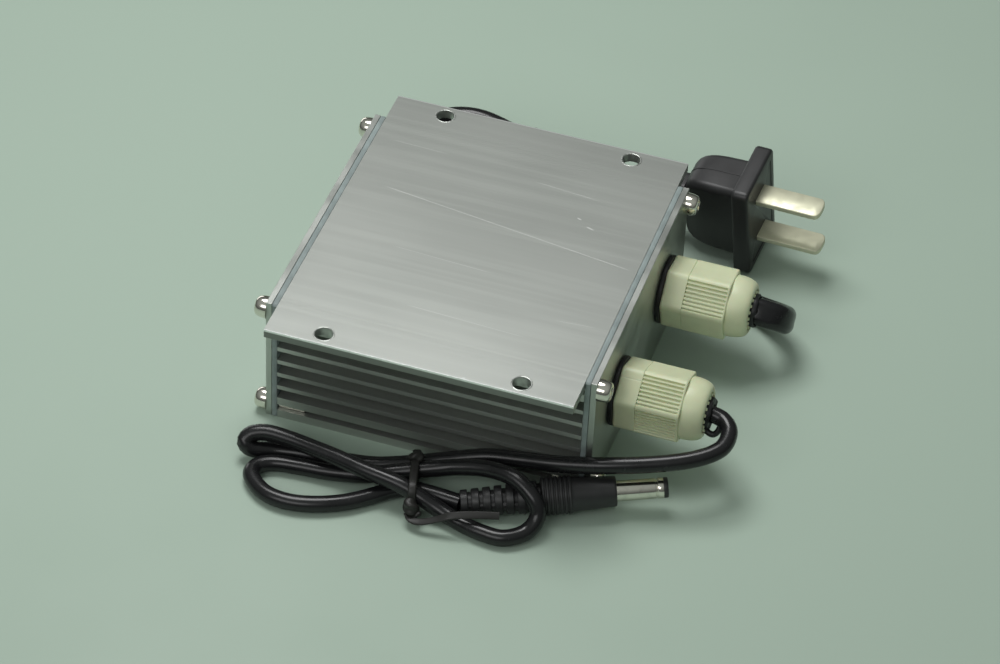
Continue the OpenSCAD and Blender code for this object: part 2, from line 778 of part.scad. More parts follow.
// Flat blade with a chamfered tip, its width across the plug
module blade(z) {
    tip = 1.6;
    color(nickel) on_ac_plug() translate([0, 0, z - blade_t / 2])
        linear_extrude(height = blade_t)
            polygon([[0, -blade_w / 2], [blade_len - tip, -blade_w / 2], [blade_len, -blade_w / 2 + tip],
                     [blade_len, blade_w / 2 - tip], [blade_len - tip, blade_w / 2], [0, blade_w / 2]]);
}

module ac_blade_upper() {
    blade(blade_z);
}

module ac_blade_lower() {
    blade(-blade_z);
}

// Circuit board in the slots of the extrusion
module circuit_board() {
    board_w = 2 * (cavity_y - 2 * fit);
    color(board_green) translate([board_x, -board_w / 2, board_z]) cube([board_len, board_w, board_t]);
}

// Insulating sheet on the base under the board
module insulating_sheet() {
    sheet_w = 2 * (cavity_y - 1);
    color([0.85, 0.84, 0.78]) translate([board_x, -sheet_w / 2, deck_t]) cube([board_len, sheet_w, 0.3]);
}

// Places a child on the board
module on_board(x, y) {
    translate([x, y, board_top]) children();
}

// Glass fuse lying between its two end caps, beside the mains wires
module fuse() {
    fuse_d = 5;
    fuse_len = 14;
    color([0.80, 0.82, 0.80]) on_board(15, ac_y + fuse_d) translate([0, 0, fuse_d / 2]) {
        rotate([0, 90, 0]) cylinder(d = fuse_d - 0.6, h = fuse_len);
        for (x = [0, fuse_len - 3]) {
            translate([x, 0, 0]) rotate([0, 90, 0]) cylinder(d = fuse_d, h = 3);
            translate([x + 1, -0.5, -fuse_d / 2]) cube([1, 1, 1]);
        }
    }
}

module filter_capacitor() {
    color([0.75, 0.68, 0.20]) on_board(12, 13) cube([14.5, 7, 12]);
}

// Toroid core of the mains choke
module choke_core() {
    color(ferrite) on_board(choke_at[0], choke_at[1]) translate([0, 0, choke_wire + fit])
        rotate_extrude() translate([choke_r, 0]) square([choke_t, choke_h]);
}

// Two windings wrapped round the choke core
module choke_winding() {
    color(copper) on_board(choke_at[0], choke_at[1]) for (turn = [20, 200])
        rotate(turn) translate([0, 0, choke_wire + fit]) rotate_extrude(angle = 140) difference() {
            translate([choke_r - choke_wire, -choke_wire - fit])
                square([choke_t + 2 * choke_wire, choke_h + 2 * choke_wire + 2 * fit]);
            translate([choke_r - fit, -fit]) square([choke_t + 2 * fit, choke_h + 2 * fit]);
        }
}

module bridge_rectifier() {
    color(black_vinyl) on_board(-22, 23.5) difference() {
        cube([15, 3.6, 11]);
        translate([13.5, -1, 9.5]) rotate([0, 45, 0]) cube([4, 6, 4]);
    }
}

// Upright electrolytic capacitor with a rolled groove above its bung
module can_capacitor(d, h) {
    difference() {
        cylinder(d = d, h = h);
        translate([0, 0, 2]) difference() {
            cylinder(d = d + 1, h = 1);
            translate([0, 0, -1]) cylinder(d = d - 0.8, h = 3);
        }
    }
}

module bulk_capacitor() {
    color([0.12, 0.14, 0.20]) on_board(-26, 14) can_capacitor(15, 19);
}

// Closed ferrite frame of the transformer
module transformer_core() {
    color(ferrite) on_board(core_at[0], core_at[1]) difference() {
        translate([-core_size[0] / 2, -core_size[1] / 2, 0]) cube(core_size);
        translate([-window_w / 2, -core_size[1], core_leg]) cube([window_w, 2 * core_size[1], window_h]);
    }
}

// Winding on its bobbin in the window of the core
module transformer_winding() {
    bobbin_w = 15;
    color([0.85, 0.70, 0.25]) on_board(core_at[0], core_at[1])
        translate([fit - window_w / 2, -bobbin_w / 2, core_leg])
            cube([window_w - 2 * fit, bobbin_w, window_h - 2 * fit]);
}

module controller_chip() {
    color(black_vinyl) on_board(-30.5, -4) cube([9.5, 6.4, 3.4]);
}

// Upright power package with its tab
module power_package() {
    translate([-5, 0, 0]) cube([10, 4.4, 9]);
    translate([-5, 3.1, 0]) cube([10, 1.3, 15]);
}

module switch_transistor() {
    color(black_vinyl) on_board(-26, -27) power_package();
}

module output_diode() {
    color(black_vinyl) on_board(-8, -27) power_package();
}

// Drum core inductor
module output_inductor() {
    color(copper) on_board(9, -22) {
        cylinder(d = 9, h = 1.6);
        cylinder(d = 7.4, h = 10);
        translate([0, 0, 8.4]) cylinder(d = 9, h = 1.6);
    }
}

module output_capacitors() {
    color([0.12, 0.14, 0.20]) for (p = [[13, -5], [23, -8]]) on_board(p[0], p[1]) can_capacitor(8.6, 15);
}

module optocoupler() {
    color(black_vinyl) on_board(5.5, 3.5) cube([4.6, 6.5, 3.4]);
}

housing();
left_gasket();
right_gasket();
left_end_plate();
right_end_plate();
left_end_screws();
right_end_screws();
dc_gland_body();
dc_gland_washer();
dc_gland_locknut();
dc_gland_seal();
dc_gland_nut();
ac_gland_body();
ac_gland_washer();
ac_gland_locknut();
ac_gland_seal();
ac_gland_nut();
dc_inner_lead();
dc_cord();
dc_plug_grip();
dc_plug_barrel();
dc_plug_insulator();
dc_tie();
ac_inner_lead();
ac_cord();
ac_hank();
ac_cord_end();
ac_tie();
ac_plug_body();
ac_blade_upper();
ac_blade_lower();
circuit_board();
insulating_sheet();
fuse();
filter_capacitor();
choke_core();
choke_winding();
bridge_rectifier();
bulk_capacitor();
transformer_core();
transformer_winding();
controller_chip();
switch_transistor();
output_diode();
output_inductor();
output_capacitors();
optocoupler();
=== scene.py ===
"""LED driver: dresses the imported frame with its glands, screws, gaskets, leads, plugs and finishes.

Shapes are worked out in millimetres in the frame's axes: X along the extrusion towards the glands,
Y across it, Z up from the table. They are turned to metres when a mesh is made.
"""

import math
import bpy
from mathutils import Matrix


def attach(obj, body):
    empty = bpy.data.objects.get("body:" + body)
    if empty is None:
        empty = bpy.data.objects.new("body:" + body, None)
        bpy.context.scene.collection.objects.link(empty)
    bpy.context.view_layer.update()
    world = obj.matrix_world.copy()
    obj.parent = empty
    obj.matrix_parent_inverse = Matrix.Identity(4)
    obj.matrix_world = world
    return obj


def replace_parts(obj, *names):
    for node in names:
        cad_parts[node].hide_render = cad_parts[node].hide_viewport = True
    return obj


bl_info = {
    "name": "LED driver",
    "version": (1, 0, 0),
    "blender": (4, 5, 0),
    "location": "View3D > Sidebar > Driver",
    "description": "Glands, leads, plugs and finishes of a finned LED driver",
    "category": "Object",
}

from collections import namedtuple
from functools import partial, reduce

import bpy
import numpy as np
from bpy.props import FloatProperty, FloatVectorProperty, PointerProperty
from bpy.types import NodeSocket, Operator, Panel, PropertyGroup
from mathutils import Euler, Matrix

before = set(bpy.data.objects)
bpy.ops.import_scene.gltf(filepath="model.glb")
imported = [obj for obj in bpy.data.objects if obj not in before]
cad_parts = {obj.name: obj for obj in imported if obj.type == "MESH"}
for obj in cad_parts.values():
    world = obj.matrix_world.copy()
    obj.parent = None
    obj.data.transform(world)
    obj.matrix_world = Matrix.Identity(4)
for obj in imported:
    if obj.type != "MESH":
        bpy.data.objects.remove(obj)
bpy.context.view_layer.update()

MM = 0.001
TAU = 2 * np.pi

# Stations along X and the places of the glands, as in the frame
SEAT_X, PLATE_X, FACE_X, HEX_X, NUT_X, TIP_X = 37.5, 38.9, 40.4, 41.6, 47.0, 62.8
THREAD_X = 33.9
DC_Y, AC_Y, GLAND_Z = -19.0, 20.0, 17.5
BODY_W, BODY_H = 76.0, 35.0
SCREW_Y, SCREW_Z = 36.0, (3.15, 31.85)
HOLES = [(x, y) for x in (-24.0, 24.0) for y in (-43.5, 43.5)]
AC_ROLL = math.radians(49)

# Output lead: the end of its plug's strain relief, the plug's turn and lift, and the cord's route
PLUG_AT = np.array([13.8, -53.9, 3.2])
PLUG_TURN, PLUG_LIFT = math.radians(21.8), math.radians(4.7)
DC_ROUTE = [
    (62.8, -19, 17.5), (66.6, -19.8, 17), (69, -22.9, 16.4), (68.4, -28.2, 15.6),
    (63, -32.8, 14.6), (54, -36.8, 13.6), (43, -40.2, 12.6), (33.5, -41.4, 11),
    (25, -41.4, 9.4), (16, -41.6, 7.7), (7, -43.5, 5.4), (-1, -45.5, 3.4),
    (-8.5, -47.5, 2.2), (-15, -48.8, 2.1), (-22, -49.6, 2.1), (-29, -50.5, 2.1),
    (-34, -51.8, 2.3), (-37.8, -53.7, 3.1), (-39.6, -53.8, 4.8), (-38.6, -52.2, 6.3),
    (-35, -51.1, 6.9), (-29.5, -51.3, 6.9), (-23.5, -52.2, 6.9), (-17.5, -53.4, 7.1),
    (-9, -55.4, 7.25), (-0.5, -56.6, 6.85), (5, -57.2, 5.1), (10, -57.8, 3.1),
    (15.5, -59.2, 2.1), (21, -60.5, 2.1), (26.5, -60.5, 2.1), (31, -57.2, 2.6),
    (32.6, -53.8, 5.2), (30.5, -51.8, 8.8), (25, -49.2, 10.7), (18, -47.6, 9.8),
    (11.5, -47.6, 8.2), (7, -48.3, 7), (0.5, -50.2, 5.8), (-5.5, -52.2, 4.7),
    (-10.5, -53.2, 3.3), (-18.5, -54.2, 2.5), (-25.5, -54.6, 2.2), (-31.5, -55.4, 2.1),
    (-34.8, -57.4, 2.1), (-35.5, -60.5, 2.1), (-33, -63.7, 2.1), (-29, -66, 2.1),
    (-23.5, -66.5, 2.1), (-17.5, -65, 2.1), (-11.5, -62, 2.1), (-6.5, -58, 2.15),
    (-2.5, -54.8, 2.6), (2, -53.2, 2.85), (7.5, -53.4, 3.1), tuple(PLUG_AT),
]
KNOT = np.array([4.0, -60.6, 4.5])
TIE_TAIL = [(3.4, -61.6, 3.4), (4.6, -62.6, 2.7), (7.0, -63.0, 2.9), (10.5, -62.2, 4.1),
            (14, -61.2, 5.6), (19, -59.7, 6.2), (24.6, -58.0, 6.3)]

# Mains lead: its way down to the table, its hank behind the housing, and its plug's place, turn and stations
AC_ROUTE = [
    (62.8, 20, 17.5), (66.4, 20.2, 17), (69, 21.6, 15.6), (70.2, 24.4, 12.9),
    (69.6, 28.2, 9.8), (67, 32, 6.9), (62.6, 35.2, 4.8), (57, 37.8, 3.8),
    (50, 40.2, 3.5), (40, 42.2, 3.4), (26, 41.8, 3.4), (12, 41.1, 3.4),
]
HANK_RIGHT, HANK_LEFT = np.array([-1.0, 54.0]), np.array([-25.0, 62.0])
HANK_RADII, HANK_HEIGHTS = (8.55, 12.9), (3.4, 10.2)
AC_END = [(7.73, 64.69, 10.2), (11.5, 63.5, 10.7), (16.5, 62.7, 12.2), (22.0, 62.25, 13.45)]
AC_FACE = np.array([54.4, 59.3, 15.1])
AC_POSE = np.array(Euler([math.radians(v) for v in (9, -2.9, -5.2)]).to_matrix())
RELIEF_END, SHOULDER, FLANGE_BACK, FLANGE_RISE = -32.6, -18.6, -4.45, 0.3
BLADE_Z = (6.35, -6.35)


def length(name, millimetres, about):
    """A length in metres that the sidebar shows."""
    return FloatProperty(name=name, description=about, default=millimetres * MM, unit="LENGTH", precision=5)


def colour(name, rgb, about):
    """A colour that the sidebar shows."""
    return FloatVectorProperty(name=name, description=about, default=rgb, subtype="COLOR", size=3, min=0, max=1)


class DriverSizes(PropertyGroup):
    """Sizes of the dressed pieces."""

    edge: length("Edge softness", 0.34, "Width of the aluminium's broken edges")
    head_d: length("Screw head", 5.4, "Diameter of the end screws' heads")
    head_h: length("Screw head height", 3.1, "Height of the end screws' heads")
    flats: length("Gland flats", 15.6, "Width of a gland over its flats")
    corners: length("Gland corners", 17.4, "Diameter over a gland's round corners")
    rib_cut: length("Rib depth", 0.6, "Depth of a clamping nut's grooves")
    dc_cord_d: length("Output cord", 4.0, "Diameter of the output cord")
    ac_cord_w: length("Mains cord width", 6.8, "Width of the flat mains cord")
    ac_cord_t: length("Mains cord thickness", 4.2, "Thickness of the flat mains cord")
    tie_w: length("Tie width", 1.8, "Width of the ties")
    tie_t: length("Tie thickness", 0.6, "Thickness of the ties")
    blade_w: length("Blade width", 6.3, "Width of a mains blade")
    blade_t: length("Blade thickness", 1.5, "Thickness of a mains blade")
    blade_len: length("Blade length", 16.2, "Length of a mains blade")


class DriverColours(PropertyGroup):
    """Colours of the finishes."""

    aluminium: colour("Aluminium", (0.46, 0.48, 0.45), "Brushed extrusion")
    plate: colour("Plate", (0.5, 0.52, 0.49), "Satin end plates")
    gasket: colour("Gasket", (0.25, 0.30, 0.295), "Gasket rubber")
    nickel: colour("Nickel", (0.80, 0.77, 0.69), "Plated screws and barrel")
    blade: colour("Blade", (0.70, 0.695, 0.52), "Mains blades")
    ivory: colour("Ivory", (0.66, 0.70, 0.465), "Gland nylon")
    rubber: colour("Rubber", (0.012, 0.012, 0.013), "Seals and washers")
    vinyl: colour("Vinyl", (0.012, 0.012, 0.013), "Cord covers")
    plug: colour("Plug", (0.022, 0.022, 0.023), "Moulded plugs")
    tie: colour("Tie", (0.018, 0.0175, 0.016), "Wire ties")
    floor: colour("Floor", (0.40, 0.505, 0.42), "Table under the driver")


def in_mm(name):
    """One of the scene's sizes, in millimetres."""
    return getattr(bpy.context.scene.driver_sizes, name) / MM


def unit(vectors):
    """The vectors, each divided by its length."""
    return vectors / np.linalg.norm(vectors, axis=-1, keepdims=True)


def soft_step(low, high, value):
    """0 below low, 1 above high, and a smooth cubic between them."""
    t = np.clip((value - low) / (high - low), 0, 1)
    return t * t * (3 - 2 * t)


def soft_min(a, b, blend):
    """The smaller of a and b, rounded over a distance blend where they cross."""
    gap = np.clip(0.5 + 0.5 * (b - a) / blend, 0, 1)
    return b + (a - b) * gap - blend * gap * (1 - gap)


def angles(count):
    """Angles of count points once round a circle."""
    return np.linspace(0, TAU, count, endpoint=False)


def ring(turn):
    """Points of the unit circle at the angles."""
    return np.stack([np.cos(turn), np.sin(turn)], axis=-1)


def through(points, step):
    """Catmull-Rom curve through the points: each span is the cubic whose end slopes are half the chord between the
    points on either side. The line is cut again into equal steps."""
    p = np.asarray(points, float)
    q = np.vstack([2 * p[0] - p[1], p, 2 * p[-1] - p[-2]])
    t = np.linspace(0, 1, 24, endpoint=False)[None, :, None]
    a, b, c, d = (q[i:len(q) - 3 + i, None] for i in range(4))
    spans = 0.5 * (2 * b + (c - a) * t + (2 * a - 5 * b + 4 * c - d) * t**2 + (3 * b - a - 3 * c + d) * t**3)
    return even(np.vstack([spans.reshape(-1, 3), p[-1:]]), step)


def even(line, step):
    """The line cut again into equal steps along its length."""
    walk = np.concatenate([[0], np.cumsum(np.linalg.norm(np.diff(line, axis=0), axis=1))])
    stations = np.linspace(0, walk[-1], int(walk[-1] / step) + 1)
    return np.stack([np.interp(stations, walk, line[:, k]) for k in range(3)], axis=1)


def carried(line, wide, section, closed=False):
    """A section carried along a line: each ring is the line's point plus the section's first number along the
    width direction and its second along the normal of the width and the line."""
    if closed:
        along = unit(np.roll(line, -1, axis=0) - np.roll(line, 1, axis=0))
    else:
        along = unit(np.gradient(line, axis=0))
    thin = unit(np.cross(along, np.broadcast_to(wide, line.shape)))
    across = np.cross(thin, along)
    section = np.broadcast_to(section, (len(line),) + section.shape[-2:])
    return line[:, None] + across[:, None] * section[..., :1] + thin[:, None] * section[..., 1:]


def turned(profile, origin=(0, 0, 0), axis=(1, 0, 0), side=(0, 1, 0), around=64):
    """A profile turned about an axis: each pair gives a ring's station along the axis and its radius, which may be a
    row that changes with the angle. The angle is counted from side."""
    stations, radii = zip(*profile)
    turn = angles(around)
    out = np.cos(turn)[:, None] * side + np.sin(turn)[:, None] * np.cross(axis, side)
    radii = np.stack([np.broadcast_to(r, around) for r in radii])
    return origin + np.array(stations)[:, None, None] * axis + radii[..., None] * out


def round_section(d, count):
    """Points of a round section."""
    return ring(angles(count)) * d / 2


def block(a, b, r, count):
    """Rectangle of half sizes a and b with corners of radius r: a circle whose quarters are pushed apart."""
    turn = angles(count) + np.pi / count
    c, s = np.cos(turn), np.sin(turn)
    return np.stack([np.sign(c) * (a - r) + r * c, np.sign(s) * (b - r) + r * s], axis=-1)


def skin(rings, closed=False):
    """Closed skin over a grid of rings: quads between them, and a fan at each end unless the last ring meets the
    first. Its faces are turned outwards by the sign of the volume that they hold."""
    count, per = rings.shape[:2]
    index = np.arange(count * per).reshape(count, per)
    if closed:
        index = np.vstack([index, index[:1]])
    nxt = np.roll(index, -1, axis=1)
    quads = np.stack([index[:-1], nxt[:-1], nxt[1:], index[1:]], axis=-1).reshape(-1, 4)
    points, blocks = rings.reshape(-1, 3), [quads]
    if not closed:
        points = np.vstack([points, rings[0].mean(axis=0), rings[-1].mean(axis=0)])
        first, last = np.full(per, count * per), np.full(per, count * per + 1)
        blocks += [np.stack([first, nxt[0], index[0]], axis=1), np.stack([last, index[-1], nxt[-1]], axis=1)]
    halves = np.concatenate([quads[:, :3], quads[:, [0, 2, 3]]] + blocks[1:])
    a, b, c = (points[halves[:, k]] for k in range(3))
    if np.einsum("ij,ij->i", a, np.cross(b, c)).sum() < 0:
        blocks = [faces[:, ::-1] for faces in blocks]
    return points, blocks


def hoop(line, wide, section):
    """Skin of a section carried once round a closed line."""
    return skin(carried(line, wide, section, closed=True), closed=True)


def piece(name, skins, slot, look=None, sharp=40):
    """One object made of skins, in metres, with the finish named by look or by its slot. It is smooth but for edges
    sharper than the given angle."""
    corners, sides, start = [], [], 0
    for points, blocks in skins:
        for faces in blocks:
            corners.append((faces + start).ravel())
            sides.append(np.full(len(faces), faces.shape[1]))
        start += len(points)
    corners, sides = np.concatenate(corners), np.concatenate(sides)
    points = np.concatenate([points for points, blocks in skins]) * MM
    mesh = bpy.data.meshes.new(name)
    mesh.vertices.add(len(points))
    mesh.vertices.foreach_set("co", points.astype(np.float32).ravel())
    mesh.loops.add(len(corners))
    mesh.loops.foreach_set("vertex_index", corners.astype(np.int32))
    mesh.polygons.add(len(sides))
    mesh.polygons.foreach_set("loop_start", (np.cumsum(sides) - sides).astype(np.int32))
    mesh.polygons.foreach_set("use_smooth", np.ones(len(sides), bool))
    mesh.update(calc_edges=True)
    mesh.set_sharp_from_angle(angle=math.radians(sharp))
    if mesh.validate():
        raise RuntimeError(f"{name}: its skin has faces that can't be built")
    mesh.materials.append(finish(look or slot))
    made = bpy.data.objects.new(name, mesh)
    bpy.context.scene.collection.objects.link(made)
    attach(made, "root")
    return made


class Nodes:
    """A node tree, with short calls for the nodes that the finishes and the room share."""

    def __init__(self, tree):
        self.tree = tree

    def join(self, socket, value):
        """Links a socket to another node's, or sets its value."""
        if isinstance(value, NodeSocket):
            self.tree.links.new(value, socket)
        else:
            socket.default_value = value

    def add(self, kind, inputs=(), **settings):
        """A node with its settings, and its inputs by number or name."""
        made = self.tree.nodes.new(kind)
        for name, value in settings.items():
            setattr(made, name, value)
        for key, value in dict(inputs).items():
            self.join(made.inputs[key], value)
        return made

    def maths(self, operation, *values):
        """What the operation makes of the values."""
        return self.add("ShaderNodeMath", enumerate(values), operation=operation).outputs[0]

    def times(self, a, b):
        """The product of a and b."""
        return self.maths("MULTIPLY", a, b)

    def span(self, value, low, high, start=0.0, end=1.0):
        """The value's range from low to high, spread smoothly over start to end."""
        ends = {"Value": value, "From Min": low, "From Max": high, "To Min": start, "To Max": end}
        return self.add("ShaderNodeMapRange", ends, interpolation_type="SMOOTHSTEP").outputs[0]


class Finish(Nodes):
    """The nodes of one material, with short calls for what the finishes share."""

    def __init__(self, name, rgb, roughness, metallic=0.0, **sockets):
        self.material = bpy.data.materials.new(name)
        self.material.use_nodes = True
        super().__init__(self.material.node_tree)
        self.shader = self.tree.nodes["Principled BSDF"]
        sockets.update(Base_Color=(*rgb, 1.0), Roughness=roughness, Metallic=metallic)
        for socket, value in sockets.items():
            self.put(socket.replace("_", " "), value)
        self.where = self.add("ShaderNodeTexCoord").outputs["Object"]

    def put(self, socket, value):
        """Sets one of the shader's sockets, or links it."""
        self.join(self.shader.inputs[socket], value)

    def axis(self, name):
        """One coordinate, in millimetres."""
        return self.times(self.add("ShaderNodeSeparateXYZ", {0: self.where}).outputs[name], 1 / MM)

    def noise(self, size_mm, stretch=(1, 1, 1), detail=3.0):
        """Noise whose grains are about size_mm wide, drawn out along an axis where its stretch is over 1."""
        place = self.add("ShaderNodeMapping", {"Vector": self.where, "Scale": [1 / s for s in stretch]})
        grains = {"Vector": place.outputs[0], "Scale": 1 / (size_mm * MM), "Detail": detail}
        return self.add("ShaderNodeTexNoise", grains).outputs["Fac"]

    def mix(self, factor, a, b):
        """Colour a where the factor is 0 and b where it is 1."""
        made = self.add("ShaderNodeMix", data_type="RGBA")
        self.join(made.inputs["Factor"], factor)
        for socket, value in ((6, a), (7, b)):
            self.join(made.inputs[socket], value if isinstance(value, NodeSocket) else (*value, 1))
        return made.outputs[2]

    def bump(self, height, depth_mm, strength):
        """Bends the surface by a height that goes up to depth_mm."""
        inputs = {"Height": height, "Distance": depth_mm * MM, "Strength": strength}
        self.put("Normal", self.add("ShaderNodeBump", inputs).outputs[0])

    def line(self, start, end, width_mm, fade_mm):
        """1 along a straight mark from start to end on the top face, in millimetres, and 0 away from it."""
        start, end = np.array(start, float), np.array(end, float)
        run = np.linalg.norm(end - start)
        along = (end - start) / run
        away = []
        for way in (along, np.array([-along[1], along[0]])):
            dot = self.add("ShaderNodeVectorMath", {0: self.where, 1: (*(way / MM), 0)}, operation="DOT_PRODUCT")
            away.append(self.maths("SUBTRACT", dot.outputs["Value"], float(way @ start)))
        t, d = away
        near = self.span(self.maths("ABSOLUTE", d), 0.0, width_mm, 1.0, 0.0)
        return self.times(near, self.times(self.span(t, 0.0, fade_mm), self.span(t, run - fade_mm, run, 1.0, 0.0)))


def shade(rgb, gain):
    """A colour made lighter or darker."""
    return tuple(min(1.0, c * gain) for c in rgb)


# Marks on the top face: the soft lines over the walls, painted lighter as a sheen (place, width), and the scars
# (start, end, width)
WALL_SHEEN_LINES = ((-38.0, 1.0), (-35.6, 0.7), (38.0, 0.9), (35.6, 0.6))
SCARS = (
    ((-29.5, 12.5), (36.5, 3.2), 0.12), ((-20, -8), (6, -9.2), 0.08), ((4, 27), (22, 25.4), 0.08),
    ((18.0, 17.6), (19.6, 17.0), 0.3), ((21.0, 15.2), (23.6, 14.3), 0.32), ((-34, 30), (-18, 29.5), 0.07),
    ((-10, -27), (20, -28.2), 0.08), ((24, -20), (35, -19.2), 0.07), ((10.5, -46.6), (11.6, -46.4), 0.4),
)


def brushed_extrusion(rgb):
    """Drawn aluminium: fine lines along X, broad grey patches, two soft lines over each side wall painted lighter as
    a sheen, a long scratch, short ones and dents on the top face, a painted highlight on the flange's top edges and
    painted shade on its sides."""
    f = Finish("brushed_extrusion", rgb, 0.4, 0.8)
    hair = f.noise(0.18, (140, 1, 1))
    streak = f.noise(1.5, (50, 1, 1), 2.0)
    cloud = f.noise(24, (1.8, 1, 1), 2.0)
    y, z = f.axis("Y"), f.axis("Z")
    aside = f.maths("ABSOLUTE", y)
    top = f.span(z, 34.5, 34.9)
    # Soft lines over the walls: their lighter tone is a painted sheen, and they are also made a little glossier
    wall_sheen = [f.span(f.maths("ABSOLUTE", f.maths("SUBTRACT", y, at)), 0.0, wide, 1.0, 0.0) for at, wide in WALL_SHEEN_LINES]
    wall_sheen = f.times(reduce(partial(f.maths, "ADD"), wall_sheen), top)
    scars = [f.line(start, end, width, min(3.0, 0.4 * abs(end[0] - start[0]))) for start, end, width in SCARS]
    scars = f.times(reduce(partial(f.maths, "MAXIMUM"), scars), top)
    # Painted highlight: the flange's top edges are lightened towards near white for the glint of their rounded edge,
    # and made glossier
    edge_glint = f.times(f.span(aside, 46.6, 46.9), f.span(z, 34.3, 34.7))
    # Painted shade: the flange's front and back faces below the top edge are darkened for the dark reflection they
    # show
    side = f.times(f.span(aside, 46.7, 46.85), f.span(z, 34.3, 34.5, 1.0, 0.0))
    grey = f.mix(f.span(cloud, 0.3, 0.7), shade(rgb, 0.94), shade(rgb, 1.04))
    grey = f.mix(f.times(f.span(streak, 0.4, 0.75), 0.4), grey, shade(rgb, 1.1))
    # Painted sheen lightens the soft lines over the walls
    grey = f.mix(f.times(wall_sheen, 0.6), grey, shade(rgb, 1.3))
    # Painted shade darkens the flange's sides
    grey = f.mix(f.times(side, 0.75), grey, shade(rgb, 0.3))
    # Scratches are lightened a little, and the flange's top edges take the painted highlight
    f.put("Base Color", f.mix(f.maths("MAXIMUM", f.times(scars, 0.35), edge_glint), grey, (0.95, 0.96, 0.95)))
    rough = f.maths("SUBTRACT", f.span(streak, 0.3, 0.7, 0.4, 0.42), f.times(wall_sheen, 0.05))
    rough = f.maths("SUBTRACT", rough, f.times(edge_glint, 0.12))
    f.put("Roughness", f.maths("ADD", rough, f.times(scars, 0.15)))
    hair = f.times(hair, f.maths("SUBTRACT", 1.0, edge_glint))
    f.bump(f.maths("SUBTRACT", hair, f.times(scars, 2.0)), 0.008, 0.3)
    return f.material


def satin_sheet(rgb):
    """Rolled aluminium sheet: a faint grain and soft smudges."""
    f = Finish("satin_sheet", rgb, 0.4, 1.0)
    grain = f.noise(0.25, (1, 60, 1), 4.0)
    smudge = f.noise(9)
    f.put("Base Color", f.mix(f.span(smudge, 0.35, 0.7), shade(rgb, 0.93), shade(rgb, 1.05)))
    f.put("Roughness", f.span(smudge, 0.3, 0.7, 0.36, 0.46))
    f.bump(grain, 0.006, 0.4)
    return f.material


def plated(name, rgb, roughness, dulled=0.85, metallic=1.0):
    """Plated metal: fine scratches and slightly dull patches over a bright coat."""
    f = Finish(name, rgb, roughness, metallic)
    dull = f.noise(2.4)
    hair = f.noise(0.12)
    f.put("Base Color", f.mix(f.span(dull, 0.45, 0.75), rgb, shade(rgb, dulled)))
    f.put("Roughness", f.span(dull, 0.35, 0.75, roughness * 0.9, roughness * 1.3))
    f.bump(hair, 0.003, 0.4)
    return f.material


def moulded(name, rgb, roughness, grain_mm=0.12, grain_depth=0.006, patchy=0.12, **sockets):
    """Moulded plastic or rubber: a fine grain, soft patches in tone, and gloss that follows them."""
    f = Finish(name, rgb, roughness, 0.0, **sockets)
    patch = f.noise(5, detail=4.0)
    grain = f.noise(grain_mm, detail=2.0)
    f.put("Base Color", f.mix(f.span(patch, 0.3, 0.7), shade(rgb, 1 - patchy), shade(rgb, 1 + patchy)))
    f.put("Roughness", f.span(patch, 0.25, 0.75, roughness - 0.04, roughness + 0.05))
    f.bump(grain, grain_depth, 0.5)
    return f.material


FINISHES = {}


def finish(name):
    """A finish by name, made once."""
    if name in FINISHES:
        return FINISHES[name]
    c = bpy.context.scene.driver_colours
    makers = {
        "brushed_extrusion": lambda: brushed_extrusion(c.aluminium),
        "satin_sheet": lambda: satin_sheet(c.plate),
        "gasket_rubber": lambda: moulded("gasket_finish", c.gasket, 0.5),
        "nickel_plate": lambda: plated("nickel_plate", c.nickel, 0.14),
        "blade_plate": lambda: plated("blade_plate", c.blade, 0.45, 0.95, 0.45),
        "gland_nylon": lambda: moulded(
            "nylon_finish", c.ivory, 0.42, 0.16, 0.004, 0.03, Subsurface_Weight=0.1, Subsurface_Scale=0.002),
        "seal_rubber": lambda: moulded("seal_finish", c.rubber, 0.4, Specular_IOR_Level=0.4),
        "cord_vinyl": lambda: moulded("cord_finish", c.vinyl, 0.24, 0.3, 0.002, Specular_IOR_Level=0.4),
        "plug_vinyl": lambda: moulded("plug_finish", c.plug, 0.42, 0.14, 0.006, Specular_IOR_Level=0.5),
        "tie_vinyl": lambda: moulded("tie_finish", c.tie, 0.42, 0.2, 0.006, Specular_IOR_Level=0.4),
    }
    FINISHES[name] = makers[name]()
    return FINISHES[name]


def dress(node, look):
    """Gives a node of the frame its finish."""
    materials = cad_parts[node].data.materials
    materials.clear()
    materials.append(finish(look))


def soften(node, width):
    """Joins a node's triangles and breaks its sharp edges."""
    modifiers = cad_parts[node].modifiers
    modifiers.new("join", "WELD").merge_threshold = 0.000001
    edge = modifiers.new("edges", "BEVEL")
    edge.width = width
    edge.segments = 3
    edge.limit_method = "ANGLE"
    edge.angle_limit = math.radians(40)
    edge.harden_normals = True


class DRIVER_OT_housing(Operator):
    """Finishes the extrusion and its end plates, and breaks their edges"""

    bl_idname = "driver.housing"
    bl_label = "Housing"

    def execute(self, context):
        width = context.scene.driver_sizes.edge
        for node, look, share in (("housing", "brushed_extrusion", 1.0), ("left_end_plate", "satin_sheet", 0.6),
                                  ("right_end_plate", "satin_sheet", 0.6)):
            dress(node, look)
            soften(node, share * width)
        return {"FINISHED"}


class DRIVER_OT_hole_burrs(Operator):
    """Raises the bright burr round each mounting hole"""

    bl_idname = "driver.hole_burrs"
    bl_label = "Hole burrs"

    def execute(self, context):
        around, radius, width = 96, 2.42, 0.16
        turn = angles(around)
        skins = []
        for k, at in enumerate(HOLES):
            lift = 0.09 + 0.035 * np.sin(2 * turn + k) + 0.02 * np.sin(7 * turn + 2 * k)
            lift += 0.012 * np.sin(19 * turn + 3 * k)
            line = np.column_stack([at + radius * ring(turn), np.full(around, BODY_H)])
            section = round_section(2, 10)[None] * np.stack([lift, np.full(around, width)], axis=1)[:, None]
            skins.append(hoop(line, (0, 0, 1), section))
        piece("hole_burrs", skins, "housing_aluminium", "satin_sheet")
        return {"FINISHED"}


